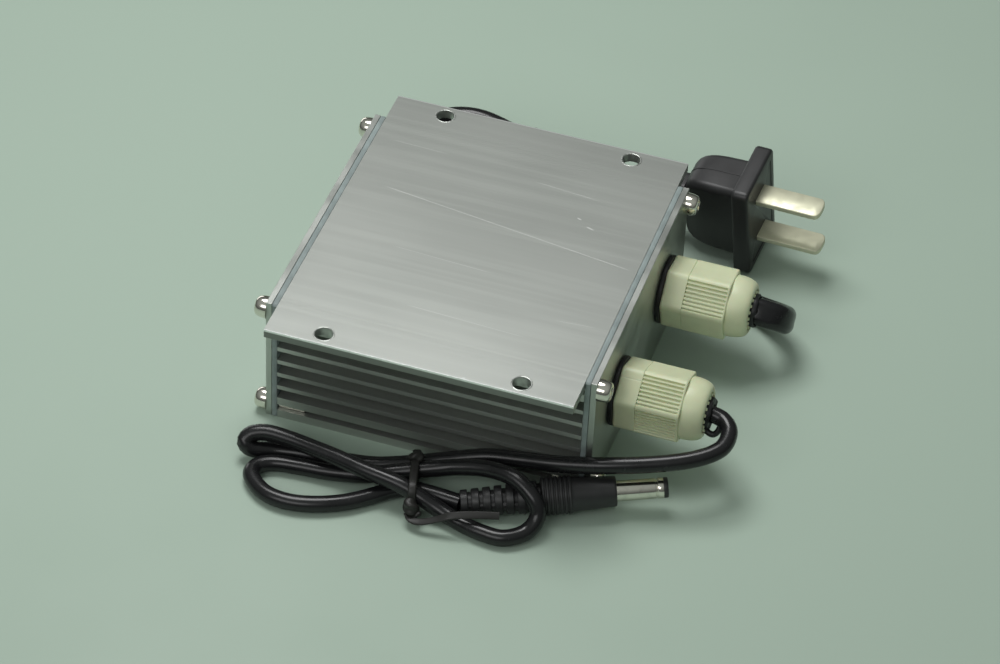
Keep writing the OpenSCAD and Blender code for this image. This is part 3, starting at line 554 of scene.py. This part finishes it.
class DRIVER_OT_gaskets(Operator):
    """Makes the gaskets, whose rims swell between the fins"""

    bl_idname = "driver.gaskets"
    bl_label = "Gaskets"

    def execute(self, context):
        half_y, half_z, corner = BODY_W / 2, BODY_H / 2, 0.5
        ends = []
        for k, (y, z) in enumerate(((1, -1), (1, 1), (-1, 1), (-1, -1))):
            centre = np.array([y * (half_y - corner), z * (half_z - corner)])
            ends.append(centre + corner * ring(np.linspace(0, np.pi / 2, 6) + (k - 1) * np.pi / 2))
        loop = np.vstack(ends + [ends[0][:1]])
        rim = even(np.column_stack([np.zeros(len(loop)), loop]), 0.3)[:-1]
        side = np.abs(rim[:, 1]) > half_y - 0.1
        press = 0.5 - 0.5 * np.cos(TAU * rim[:, 2] / 4)
        swell = np.where(side, 0.06 + 0.2 * press, 0.09 + 0.03 * np.sin(rim[:, 1] * 1.7))
        shape = np.array([(-6.5, 0.02), (-0.3, 0.02), (-0.1, 0.1), (0, 0.4), (0, 0.9), (-0.1, 1.3), (-0.3, 1.38),
                          (-6.5, 1.38)])
        out = shape[:, 0] + (shape[:, 0] > -1) * swell[:, None]
        section = np.stack([np.broadcast_to(shape[:, 1], out.shape), out], axis=-1)
        for name, x in (("left_gasket", -PLATE_X), ("right_gasket", SEAT_X)):
            rings = carried(rim + (x, 0, half_z), (1, 0, 0), section, closed=True)
            rings[..., 2] = np.maximum(rings[..., 2], 0.01)
            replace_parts(piece(f"{name}_rim", [skin(rings, closed=True)], "gasket_rubber"), name)
        return {"FINISHED"}


class DRIVER_OT_screws(Operator):
    """Makes the pan-head end screws with their cross recesses"""

    bl_idname = "driver.screws"
    bl_label = "End screws"

    def head(self, at, way, swing, d, h):
        """The head's height over its radius r is h (1 - (r/R)^6)^(1/2.6), less a cross whose arms slope in."""
        around, rings, depth = 96, 44, 1.4
        turn = angles(around)
        reach = np.sin(np.linspace(0.015, np.pi / 2, rings))[:, None]
        r = d / 2 * reach
        y, z = r * np.cos(turn + swing), r * np.sin(turn + swing)
        arm = 0
        for u, v in ((y, z), (z, y)):
            wide = soft_step(0.62, 0.34, np.abs(v) + 0.09 * np.abs(u))
            arm = np.maximum(arm, wide * soft_step(1.75, 1.15, np.abs(u)))
        up = h * np.maximum(1 - reach**6, 0) ** (1 / 2.6) - depth * arm
        crown = np.stack([up * way, r * np.cos(turn), r * np.sin(turn)], -1)
        shank = ((-0.02 * way, d / 2), (-0.02 * way, 1.25), (-9.5 * way, 1.25), (-9.9 * way, 0.8))
        return skin(np.concatenate([crown, turned(shank, around=around)]) + at)

    def execute(self, context):
        d, h = in_mm("head_d"), in_mm("head_h")
        swings = iter((0.3, 1.1, 0.7, 0.15, 0.5, 1.3, 0.9, 0.05))
        for name, x, way in (("left_end_screws", -FACE_X, -1), ("right_end_screws", FACE_X, 1)):
            skins = [self.head(np.array([x, y, z]), way, next(swings), d, h)
                     for y in (-SCREW_Y, SCREW_Y) for z in SCREW_Z]
            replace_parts(piece(f"{name}_heads", skins, "screw_nickel", "nickel_plate"), name)
        return {"FINISHED"}


def hexagon(turn, flats, corners, start):
    """Radius of a hexagon with round corners at each angle: the half width over the cosine of the angle from the
    nearest flat's normal, held under the corner circle. Also the place along that flat and the flat's number."""
    off = (turn - start) % (np.pi / 3) - np.pi / 6
    radius = soft_min(flats / 2 / np.cos(off), corners / 2, 0.3)
    return radius, flats / 2 * np.tan(off), ((turn - start) // (np.pi / 3)).astype(int) % 6


# Each gland: its place across, the angle of a hexagon corner, its grooved flats and its mould seam
Gland = namedtuple("Gland", "name y corner grooved seam")
GLANDS = (
    Gland("dc", DC_Y, math.radians(37), (1, 2, 4, 5), math.radians(113)),
    Gland("ac", AC_Y, math.radians(50), (1, 3, 5), math.radians(200)),
)


def about_axis(x, radius, turn, y):
    """Points at a radius and an angle about the axis of the gland at y."""
    return np.stack(np.broadcast_arrays(x, y + radius * np.cos(turn), GLAND_Z + radius * np.sin(turn)), axis=-1)


class DRIVER_OT_gland_bodies(Operator):
    """Makes the gland bodies: thread, rounded hexagon with its mould seam, stub and clamping fingers"""

    bl_idname = "driver.gland_bodies"
    bl_label = "Gland bodies"

    def execute(self, context):
        around, fingers = 480, 18
        thread, stub, bore = 6.1, 5.7, 4.3
        turn = angles(around)
        flats, corners = in_mm("flats"), in_mm("corners")
        for g in GLANDS:
            gap = np.minimum((turn - g.seam) % np.pi, np.pi - (turn - g.seam) % np.pi)
            hexa = hexagon(turn, flats - 0.1, corners - 0.1, g.corner)[0] - 0.07 * np.exp(-((gap / 0.012) ** 2))
            profile = [(THREAD_X, thread), (HEX_X - 0.02, thread)]
            profile += [(HEX_X + s, hexa - cut) for s, cut in ((0, 0.5), (0.14, 0.22), (0.4, 0.03), (0.6, 0))]
            profile += [(NUT_X - s, hexa - cut) for s, cut in ((0.3, 0), (0.12, 0.02), (0.03, 0.14))]
            profile += [(NUT_X, stub), (NUT_X + 9.4, stub), (NUT_X + 9.5, 4.5), (NUT_X + 9.5, bore), (THREAD_X, bore)]
            skins = [skin(turned(profile, (0, g.y, GLAND_Z), around=around), closed=True)]
            skins += [self.finger((k + 0.5) * TAU / fingers, g.y) for k in range(fingers)]
            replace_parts(piece(f"{g.name}_gland_hexagon", skins, "gland_nylon", sharp=30), f"{g.name}_gland_body")
        return {"FINISHED"}

    def finger(self, mid, y):
        """A clamping finger: an arc between two radii, which leans in and thins out towards the tip."""
        stations = np.array([NUT_X + 9, TIP_X - 1.6, TIP_X - 0.5, TIP_X + 0.05, TIP_X + 0.25])
        outer, inner = (4.85, 4.88, 4.85, 4.75, 4.6), (4.35, 4.35, 4.3, 4.25, 4.3)
        narrow = np.array([1, 1, 0.95, 0.85, 0.6])
        bend = mid + np.linspace(-0.095, 0.095, 6) * narrow[:, None]
        edge = np.concatenate([bend, bend[:, ::-1]], axis=1)
        radius = np.repeat(np.stack([outer, inner], axis=1), 6, axis=1)
        return skin(about_axis(stations[:, None], radius, edge, y))


class DRIVER_OT_gland_nuts(Operator):
    """Makes the clamping nuts: a hexagon with grooved flats that runs into a dome with a round mouth"""

    bl_idname = "driver.gland_nuts"
    bl_label = "Gland nuts"

    def execute(self, context):
        around = 960
        turn = angles(around)
        flats, corners, cut = (in_mm(name) for name in ("flats", "corners", "rib_cut"))
        ribs = np.r_[0, 0.06, 0.16, 0.3, np.linspace(0.8, 9.4, 8), 9.7, 9.8, 9.9, 10.0, 10.1, 10.2, 10.3, 10.4, 10.46,
                     10.5]
        ease = np.interp(ribs, [0, 0.06, 0.16, 0.3, 10.1, 10.3, 10.46, 10.5],
                         [0.12, 0.04, 0.01, 0, 0, 0.04, 0.16, 0.32])
        reach = soft_step(10.1, 9.75, ribs)
        sweep = np.linspace(0, np.pi / 2, 20)
        dome_s = np.r_[10.52, 10.6, 10.8, 11.3 + 4.5 * np.sin(sweep)]
        dome_r = np.r_[7.42, 7.5, 7.55, 5.3 + 2.25 * np.cos(sweep) ** 0.85]
        mouth_s, mouth_r = (15.78, 15.7, 15.5, 10.6, 10.4, 0.0), (5.15, 5.0, 4.95, 4.95, 5.8, 5.8)
        stations = NUT_X + np.r_[ribs, dome_s, mouth_s]
        for g in GLANDS:
            hexa, place, flat = hexagon(turn, flats, corners, g.corner)
            wave = soft_step(-0.1, 0.35, np.cos(TAU * (place - 0.5)))
            groove = cut * wave * (np.abs(place) < 4) * np.isin(flat, g.grooved)
            outer = hexa - ease[:, None] - reach[:, None] * groove
            rings = turned(zip(stations, [*outer, *dome_r, *mouth_r]), (0, g.y, GLAND_Z), around=around)
            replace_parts(piece(f"{g.name}_gland_clamp", [skin(rings, closed=True)], "gland_nylon", sharp=34),
                        f"{g.name}_gland_nut")
        return {"FINISHED"}


class DRIVER_OT_gland_rubber(Operator):
    """Makes the washers under the glands and the seals round the cords"""

    bl_idname = "driver.gland_rubber"
    bl_label = "Gland rubber"

    def flat_hole(self, turn, w, t):
        """Radius of a flat cord's outline at each angle: the straight side, or the round edge past its end."""
        half = (w - t) / 2
        s, c = np.abs(np.sin(turn)), np.abs(np.cos(turn))
        edge = half * c + np.sqrt(np.maximum((t / 2) ** 2 - (half * s) ** 2, 0))
        return np.where(s * half > c * t / 2, t / 2 / np.maximum(s, 1e-6), edge)

    def execute(self, context):
        around = 144
        turn = angles(around)
        washer = [(0.02, 6.3), (0.02, 8.15), (0.1, 8.35), (0.35, 8.45), (0.85, 8.45), (1.1, 8.35), (1.18, 8.15),
                  (1.18, 6.3)]
        flat = self.flat_hole(turn - AC_ROLL, in_mm("ac_cord_w"), in_mm("ac_cord_t"))
        seals = {"dc": (np.full(around, in_mm("dc_cord_d") / 2 + 0.03), 3.8, 0.9),
                 "ac": (flat + 0.03, 4.15, 1.2)}
        lip = 0.2 * np.sin(3 * turn + 1.1) + 0.1 * np.sin(8 * turn)
        for g in GLANDS:
            rings = turned(washer, (FACE_X, g.y, GLAND_Z), around=around)
            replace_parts(piece(f"{g.name}_gland_ring", [skin(rings, closed=True)], "seal_rubber"),
                        f"{g.name}_gland_washer")
            hole, rim, out = seals[g.name]
            shape = [(-15.6, 3.9), (-0.6, 3.9), (0.2, rim), (out - 0.25 + lip, rim), (out + lip, rim - 0.2),
                     (out + 0.08 + lip, np.minimum(hole + 0.3, rim - 0.25)), (out - 0.2 + lip, hole), (-15.6, hole)]
            rings = np.stack([about_axis(TIP_X + s, r, turn, g.y) for s, r in shape])
            skins = [skin(rings, closed=True)]
            if g.name == "dc":
                curl = through([(62.4, -20.8, 14.3), (63.8, -21.6, 13.7), (65.0, -21.6, 13.5), (65.9, -21.2, 14.4),
                                (66.2, -20.6, 15.4)], 0.15)
                skins.append(skin(carried(curl, (0, 0.6, 0.8), round_section(1.5, 18))))
            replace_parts(piece(f"{g.name}_gland_sleeve", skins, "seal_rubber"), f"{g.name}_gland_seal")
        return {"FINISHED"}


class DRIVER_OT_output_cord(Operator):
    """Lays the round output cord from its gland through its tied hank to the plug"""

    bl_idname = "driver.output_cord"
    bl_label = "Output cord"

    def execute(self, context):
        d = in_mm("dc_cord_d")
        line = through(DC_ROUTE, 0.7)
        cord = piece("output_cord", [skin(carried(line, (0, 0, 1), round_section(d, 28)))], "cord_vinyl")
        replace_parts(cord, "dc_cord")
        return {"FINISHED"}


class DRIVER_OT_output_plug(Operator):
    """Makes the output plug: ribbed strain relief, ringed collar, tapered grip, barrel and insulator"""

    bl_idname = "driver.output_plug"
    bl_label = "Output plug"

    def barrel(self, profile, around=72):
        """Skins of a profile that runs once round a wall, turned about the plug's axis."""
        c, s, level = math.cos(PLUG_TURN), math.sin(PLUG_TURN), math.cos(PLUG_LIFT)
        axis = (c * level, s * level, math.sin(PLUG_LIFT))
        return [skin(turned(profile, PLUG_AT, axis, (-s, c, 0), around), closed=True)]

    def execute(self, context):
        around, ribs, relief = 96, 7, 18.8
        pitch = relief / ribs
        cord = in_mm("dc_cord_d") / 2 + 0.05
        web = soft_step(0.9, 0.97, np.abs(np.cos(angles(around))))
        grip = [(0, cord), (0, 2.6), (0.15, 2.85)]
        for s in np.arange(ribs) * pitch:
            full = 2.95 + s / relief
            waist = 2.35 + 0.45 * s / relief + (full - 2.85) * web
            grip += [(s + 0.2, full), (s + 1.6, full + 0.06), (s + 1.76, full - 0.1), (s + 1.82, waist),
                     (s + pitch - 0.12, waist), (s + pitch - 0.04, full + 0.02)]
        for s in 18.9 + np.arange(7) * 1.04:
            grip += [(s, 4.22), (s + 0.16, 4.5), (s + 0.3, 4.56), (s + 0.52, 4.56), (s + 0.66, 4.5), (s + 0.8, 4.22)]
        grip += [(26.3, 4.1), (26.6, 4.06), (35.7, 3.62), (36.15, 3.55), (36.35, 3.4), (36.4, 3.15), (36.4, 2.4),
                 (34, 2.4), (34, cord)]
        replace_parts(piece("output_plug_grip", self.barrel(grip, around), "plug_vinyl", sharp=32), "dc_plug_grip")
        tube = [(34.2, 2.35), (36.3, 2.35), (36.42, 2.48), (45.4, 2.48), (45.5, 2.42), (45.62, 2.3), (45.86, 2.3),
                (45.98, 2.42), (46.1, 2.49), (47.2, 2.49), (47.34, 2.44), (47.4, 2.3), (47.3, 2.12), (34.2, 2.12)]
        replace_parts(piece("output_plug_barrel", self.barrel(tube), "plug_nickel", "nickel_plate"), "dc_plug_barrel")
        core = [(35.5, 0.3), (35.5, 2.08), (47.36, 2.08), (47.42, 2.4), (47.6, 2.44), (48.25, 2.42), (48.42, 2.3),
                (48.45, 1.9), (48.4, 1.35), (48.2, 1.08), (37, 1.05), (37, 0.3)]
        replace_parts(piece("output_plug_core", self.barrel(core), "plug_vinyl"), "dc_plug_insulator")
        return {"FINISHED"}


def lump(centre, axis, half, radius, twist):
    """A twisted lump: its radius along its axis is that of an ellipsoid, times a three-fold swell that turns."""
    around = 48
    u = np.sin(np.linspace(-1.5, 1.5, 28))
    swell = 1 + 0.13 * np.cos(3 * angles(around) + twist * u[:, None])
    radii = radius * np.sqrt(1 - u**2)[:, None] * swell
    axis = unit(np.array(axis))
    side = unit(np.cross(axis, (0.3, 0.9, 0.2)))
    return skin(turned(zip(half * u, radii), centre, axis, side, around))


class DRIVER_OT_output_tie(Operator):
    """Makes the wire tie of the output cord: band, twisted knot and flat tail"""

    bl_idname = "driver.output_tie"
    bl_label = "Output tie"

    def execute(self, context):
        w = in_mm("tie_w")
        slant, far_y, around = 0.26, -45.1, 240
        line = through(DC_ROUTE, 0.2)
        off = line[:, 0] - slant * (far_y - line[:, 1])
        near = line[(np.abs(off) < w / 2) & (line[:, 1] < -40)][:, 1:]
        way = ring(angles(around))
        hull = near[np.argmax(way @ near.T, axis=1)] + (in_mm("dc_cord_d") / 2 + 0.45) * way
        loop = even(np.column_stack([slant * (far_y - hull[:, 0]), hull])[np.r_[0:around, 0]], 0.35)[:-1]
        loop[:, 2] = np.maximum(loop[:, 2], 0.5)
        top = loop[np.argmax(loop[:, 2] + 0.35 * loop[:, 1])]
        tail = through(TIE_TAIL, 0.4)
        lean = np.interp(np.linspace(0, 1, len(tail)), [0, 0.2, 0.34, 0.55, 1], [0.2, 0.3, 0.3, 0.8, 0.9])
        wide = np.stack([0 * lean, np.cos(lean), np.sin(lean)], axis=1)
        skins = [hoop(loop, (1, slant, 0), block(w / 2 + 0.1, 0.45, 0.44, 24)),
                 lump(top + (0.1, 0.2, 0.5), (0.9, 0.4, 0.1), 1.9, 1.3, 3.0),
                 lump(KNOT, (0.55, -0.3, -0.75), 2.4, 1.75, 5.0),
                 lump(KNOT + (0.9, -0.5, -1.5), (0.9, 0.1, 0.3), 1.9, 1.05, 4.0),
                 skin(carried(tail, wide, block(w / 2, 0.3, 0.28, 24)))]
        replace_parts(piece("output_tie", skins, "tie_vinyl", sharp=60), "dc_tie")
        return {"FINISHED"}


def hank_line():
    """The mains cord's way round its hank: three turns about the two centres, clockwise from above. Each row is the
    arc at one centre, with its angles, its radius and the heights of its ends. Straight sides join the arcs."""
    axis = unit(HANK_RIGHT - HANK_LEFT)
    far = math.atan2(axis[0], -axis[1])
    near = far - np.pi
    (inner, outer), (low, high) = HANK_RADII, HANK_HEIGHTS
    arcs = (
        (HANK_RIGHT, -np.pi / 2, near, outer, low, low), (HANK_LEFT, near, far - TAU, outer, low, low),
        (HANK_RIGHT, far, near, inner, low, low), (HANK_LEFT, near, far - TAU, inner, low, high),
        (HANK_RIGHT, far, near, inner, high, high), (HANK_LEFT, near, far - TAU, outer, high, high),
    )
    line = []
    for centre, start, end, r, z0, z1 in arcs:
        u = np.linspace(0, 1, max(4, int(abs(end - start) * 10)))
        swing = start + (end - start) * u
        line.append(np.column_stack([centre + r * ring(swing), z0 + (z1 - z0) * soft_step(0, 1, u)]))
    leave = np.append(HANK_RIGHT + outer * np.array([math.cos(far), math.sin(far)]), high)
    return np.vstack(line + [leave[None]])


def rounded(line, step, passes):
    """The line in equal steps, eased by averaging each point with its neighbours."""
    line = even(line, step)
    for _ in range(passes):
        line[1:-1] = 0.25 * line[:-2] + 0.5 * line[1:-1] + 0.25 * line[2:]
    return line


def on_plug(points):
    """Points of the mains plug, whose face is at x = 0 and whose blades point along +X, carried to the frame."""
    return np.asarray(points, float) @ AC_POSE.T + AC_FACE


class DRIVER_OT_mains_cord(Operator):
    """Lays the flat mains cord from its gland, on edge behind the housing, round its hank and up to the plug"""

    bl_idname = "driver.mains_cord"
    bl_label = "Mains cord"

    def execute(self, context):
        w, t = in_mm("ac_cord_w"), in_mm("ac_cord_t")
        end = AC_END + [tuple(on_plug((RELIEF_END + 2, 0, 0)))]
        step = 0.7
        line = rounded(np.vstack([through(AC_ROUTE, 0.6), hank_line(), through(end, 0.6)]), step, 12)
        run = np.arange(len(line)) * step
        down = soft_step(14, 34, run)[:, None]
        up = soft_step(run[-1] - 16, run[-1] - 2, run)[:, None]
        wide = (1 - down) * np.array([0, math.cos(AC_ROLL), math.sin(AC_ROLL)]) + down * np.array([0, 0, 1.0])
        wide = unit((1 - up) * wide + up * AC_POSE[:, 2])
        cord = piece("mains_cord", [skin(carried(line, wide, block(w / 2, t / 2, t / 2, 32)))], "cord_vinyl")
        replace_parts(cord, "ac_cord", "ac_hank", "ac_cord_end")
        return {"FINISHED"}


class DRIVER_OT_mains_plug(Operator):
    """Makes the mains plug: ribbed relief, shouldered body with its parting line, face flange and blades"""

    bl_idname = "driver.mains_plug"
    bl_label = "Mains plug"

    def execute(self, context):
        count = 96
        shape = [(RELIEF_END, 2.3, 3.6, 2.0), (RELIEF_END + 0.1, 2.8, 4.1, 2.0)]
        for k in range(5):
            x = RELIEF_END + 0.3 + k * 2.75
            grow = 0.17 * k
            shape += [(x, 2.9 + grow, 4.2 + grow, 2.1), (x + 1.7, 3.0 + grow, 4.3 + grow, 2.1),
                      (x + 1.9, 2.65 + grow, 3.95 + grow, 2.0), (x + 2.55, 2.7 + grow, 4.0 + grow, 2.0)]
        shape += [(SHOULDER - 0.05, 3.65, 5.0, 2.2), (SHOULDER + 0.05, 4.5, 7.4, 2.2), (-18.3, 4.9, 8.5, 2.2),
                  (-17.6, 5.3, 9.5, 2.2), (-16.5, 5.7, 10.3, 2.2), (-15.0, 6.0, 10.8, 2.1), (-13.2, 6.2, 11.1, 2.0),
                  (-10.5, 6.3, 11.3, 1.9), (-4.8, 6.4, 11.4, 1.8), (-4.5, 6.5, 11.5, 1.8), (-4.4, 8.8, 13.5, 1.4),
                  (-4.3, 9.05, 13.75, 1.5), (-4.0, 9.3, 14.0, 1.7), (-3.6, 9.4, 14.1, 1.8), (-0.8, 9.4, 14.1, 1.8),
                  (-0.4, 9.3, 14.0, 1.7), (-0.1, 9.05, 13.75, 1.5), (0, 8.7, 13.4, 1.4), (0, 7.4, 12.1, 1.4),
                  (-0.2, 7.2, 11.9, 1.4)]
        rings = [np.column_stack([np.full(count, x), block(a, b, r, count) + (0, FLANGE_RISE * (x > FLANGE_BACK))])
                 for x, a, b, r in shape]
        seam = np.array([(x, 0, b + 0.02) for x, a, b, r in shape if SHOULDER < x < -4.6])
        skins = [skin(on_plug(rings)),
                 skin(on_plug(carried(even(seam, 0.3), (0, 1, 0), block(0.2, 0.1, 0.09, 8))))]
        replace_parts(piece("mains_plug", skins, "plug_vinyl"), "ac_plug_body")
        w, t, run = (in_mm(name) for name in ("blade_w", "blade_t", "blade_len"))
        turn = np.linspace(-np.pi / 2, np.pi / 2, 25)
        nose, root = 2.2, -0.3
        tip = np.stack([np.abs(np.cos(turn)) ** 0.55 * nose, np.sign(turn) * np.abs(np.sin(turn)) ** 0.75 * w / 2], 1)
        outline = np.vstack([[(root, -w / 2)], tip + (run - nose, 0), [(root, w / 2)]])
        skins = []
        for z in BLADE_Z:
            layers = []
            for up, inset in ((-t / 2, 0.22), (-t / 2 + 0.1, 0.06), (-t / 2 + 0.28, 0), (t / 2 - 0.28, 0),
                              (t / 2 - 0.1, 0.06), (t / 2, 0.22)):
                trim = outline * ((run - inset) / run, (w - 2 * inset) / w)
                layers.append(np.column_stack([trim, np.full(len(trim), z + up)]))
            skins.append(skin(on_plug(layers)))
        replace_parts(piece("mains_blades", skins, "plug_nickel", "blade_plate", 50),
                    "ac_blade_upper", "ac_blade_lower")
        return {"FINISHED"}


class DRIVER_OT_mains_tie(Operator):
    """Makes the wire tie round the outer side of the mains hank"""

    bl_idname = "driver.mains_tie"
    bl_label = "Mains tie"

    def execute(self, context):
        w, t = in_mm("tie_w"), in_mm("tie_t")
        axis = unit(HANK_RIGHT - HANK_LEFT)
        out = np.array([-axis[1], axis[0]])
        reach, mid_z, count = 10.7, 7.25, 160
        base = (HANK_RIGHT + HANK_LEFT) / 2 + reach * out
        outline = block(4.9, 7.0, 1.6, count)
        loop = np.column_stack([base + np.outer(outline[:, 0], out), mid_z + outline[:, 1]])
        loop = even(loop[np.r_[0:count, 0]], 0.4)[:-1]
        loop[:, 2] = np.maximum(loop[:, 2], t / 2 + 0.02)
        skins = [hoop(loop, np.append(axis, 0), block(w / 2, t / 2, 0.28, 16)),
                 lump(np.append(base, 15.6), (*axis, 1.2), 1.8, 1.2, 5.0)]
        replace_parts(piece("mains_tie", skins, "tie_vinyl", sharp=60), "ac_tie")
        return {"FINISHED"}


# Finish, colour and nodes of the pieces inside the housing
INSIDE = (
    ("gland_nylon", None, "dc_gland_locknut ac_gland_locknut"),
    ("cord_vinyl", None, "dc_inner_lead ac_inner_lead"),
    ("board_mask", (0.02, 0.10, 0.04), "circuit_board"),
    ("sheet_finish", (0.6, 0.58, 0.5), "insulating_sheet"),
    ("fuse_finish", (0.55, 0.58, 0.58), "fuse"),
    ("film_finish", (0.5, 0.38, 0.03), "filter_capacitor"),
    ("ferrite", (0.03, 0.03, 0.032), "choke_core transformer_core"),
    ("enamelled_copper", (0.5, 0.2, 0.05), "choke_winding transformer_winding output_inductor"),
    ("chip_case", (0.012, 0.012, 0.014),
     "bridge_rectifier controller_chip switch_transistor output_diode optocoupler"),
    ("can_sleeve", (0.015, 0.02, 0.06), "bulk_capacitor output_capacitors"),
)


class DRIVER_OT_inside(Operator):
    """Finishes the pieces inside the housing"""

    bl_idname = "driver.inside"
    bl_label = "Inside"

    def execute(self, context):
        for look, rgb, nodes in INSIDE:
            if rgb:
                FINISHES[look] = moulded(look, rgb, 0.4)
            for node in nodes.split():
                dress(node, look)
        return {"FINISHED"}


# Soft lights: name, place and size in metres, and watts
LIGHTS = (
    ("key", (-0.11, 0.1, 0.52), (0.26, 0.26), 1.8),
    ("fill", (-0.15, -0.78, 0.66), (0.7, 0.36), 2.0),
    ("back", (-0.75, 0.75, 0.22), (0.7, 0.3), 1.2),
)
# The photograph's view: azimuth, elevation and roll, then the target and the distance from it in metres
VIEW = [math.radians(v) for v in (16.198, 41.287, 3.042)]
TARGET, DISTANCE = np.array([0.002718, 0.00985, 0.0]), 0.9508
SENSOR, LENS = 36.0, 139.669


class DRIVER_OT_stage(Operator):
    """Sets the table, the soft lights and the camera"""

    bl_idname = "driver.stage"
    bl_label = "Stage"

    def place(self, made, axes, at):
        """Puts an object at a point in metres, with its own axes along the given directions."""
        made.matrix_world = Matrix([[*row, p] for row, p in zip(np.stack(axes, 1), at)] + [[0, 0, 0, 1]])
        bpy.context.scene.collection.objects.link(made)

    def soft_box(self, name, at, size, watts):
        """An area light that looks at the origin."""
        data = bpy.data.lights.new(name, "AREA")
        data.shape = "RECTANGLE"
        data.size, data.size_y = size
        data.energy = watts
        back = unit(np.array(at))
        right = unit(np.cross((0, 0, 1), back))
        self.place(bpy.data.objects.new(name, data), (right, np.cross(back, right), back), at)

    def room(self, scene):
        """A soft room: dim at the height of the table, brighter overhead and in front than behind."""
        world = bpy.data.worlds.new("room")
        world.use_nodes = True
        nodes = Nodes(world.node_tree)
        way = nodes.add("ShaderNodeSeparateXYZ", {0: nodes.add("ShaderNodeTexCoord").outputs["Generated"]}).outputs
        overhead = nodes.span(way["Z"], 0.0, 1.0, 0.07, 0.3)
        front = nodes.maths("MULTIPLY_ADD", way["Y"], -0.35, 1.0)
        sky = nodes.tree.nodes["Background"].inputs
        nodes.join(sky["Color"], (0.93, 1.0, 0.95, 1))
        nodes.join(sky["Strength"], nodes.times(front, overhead))
        scene.world = world

    def execute(self, context):
        scene = context.scene
        scene.view_settings.view_transform = "Standard"
        f = Finish("table", scene.driver_colours.floor, 0.6)
        f.put("Roughness", f.span(f.noise(60), 0.3, 0.7, 0.55, 0.7))
        far = 4
        mesh = bpy.data.meshes.new("table")
        mesh.from_pydata([(-far, -far, 0), (far, -far, 0), (far, far, 0), (-far, far, 0)], [], [(0, 1, 2, 3)])
        mesh.materials.append(f.material)
        table = bpy.data.objects.new("table", mesh)
        scene.collection.objects.link(table)
        self.room(scene)
        for light in LIGHTS:
            self.soft_box(*light)
        self.camera(scene)
        return {"FINISHED"}

    def camera(self, scene):
        """The photograph's view: the camera looks along its back axis at the target, and is rolled about it."""
        a, e, r = VIEW
        back = np.array([math.sin(a) * math.cos(e), -math.cos(a) * math.cos(e), math.sin(e)])
        right = np.array([math.cos(a), math.sin(a), 0.0])
        up = np.cross(back, right)
        data = bpy.data.cameras.new("camera")
        data.sensor_width, data.lens = SENSOR, LENS
        data.clip_start, data.clip_end = 0.01, 20
        made = bpy.data.objects.new("camera", data)
        axes = (right * math.cos(r) + up * math.sin(r), up * math.cos(r) - right * math.sin(r), back)
        self.place(made, axes, TARGET + DISTANCE * back)
        scene.camera = made


PIECES = (
    DRIVER_OT_housing, DRIVER_OT_hole_burrs, DRIVER_OT_gaskets, DRIVER_OT_screws, DRIVER_OT_gland_bodies,
    DRIVER_OT_gland_nuts, DRIVER_OT_gland_rubber, DRIVER_OT_output_plug, DRIVER_OT_output_tie,
    DRIVER_OT_output_cord, DRIVER_OT_mains_plug, DRIVER_OT_mains_tie, DRIVER_OT_mains_cord, DRIVER_OT_inside,
    DRIVER_OT_stage,
)


class DRIVER_PT_panel(Panel):
    """Lists the pieces, sizes and colours in the sidebar"""

    bl_idname = "DRIVER_PT_panel"
    bl_label = "LED driver"
    bl_space_type = "VIEW_3D"
    bl_region_type = "UI"
    bl_category = "Driver"

    def draw(self, context):
        for maker in PIECES:
            self.layout.operator(maker.bl_idname)
        for group in (context.scene.driver_sizes, context.scene.driver_colours):
            box = self.layout.box()
            for name in group.__annotations__:
                box.prop(group, name)


CLASSES = (DriverSizes, DriverColours) + PIECES + (DRIVER_PT_panel,)


def register():
    for cls in CLASSES:
        bpy.utils.register_class(cls)
    bpy.types.Scene.driver_sizes = PointerProperty(type=DriverSizes)
    bpy.types.Scene.driver_colours = PointerProperty(type=DriverColours)


def unregister():
    del bpy.types.Scene.driver_colours
    del bpy.types.Scene.driver_sizes
    for cls in reversed(CLASSES):
        bpy.utils.unregister_class(cls)


def main():
    register()
    for maker in PIECES:
        group, call = maker.bl_idname.split(".")
        getattr(getattr(bpy.ops, group), call)()


if __name__ == "__main__":
    main()
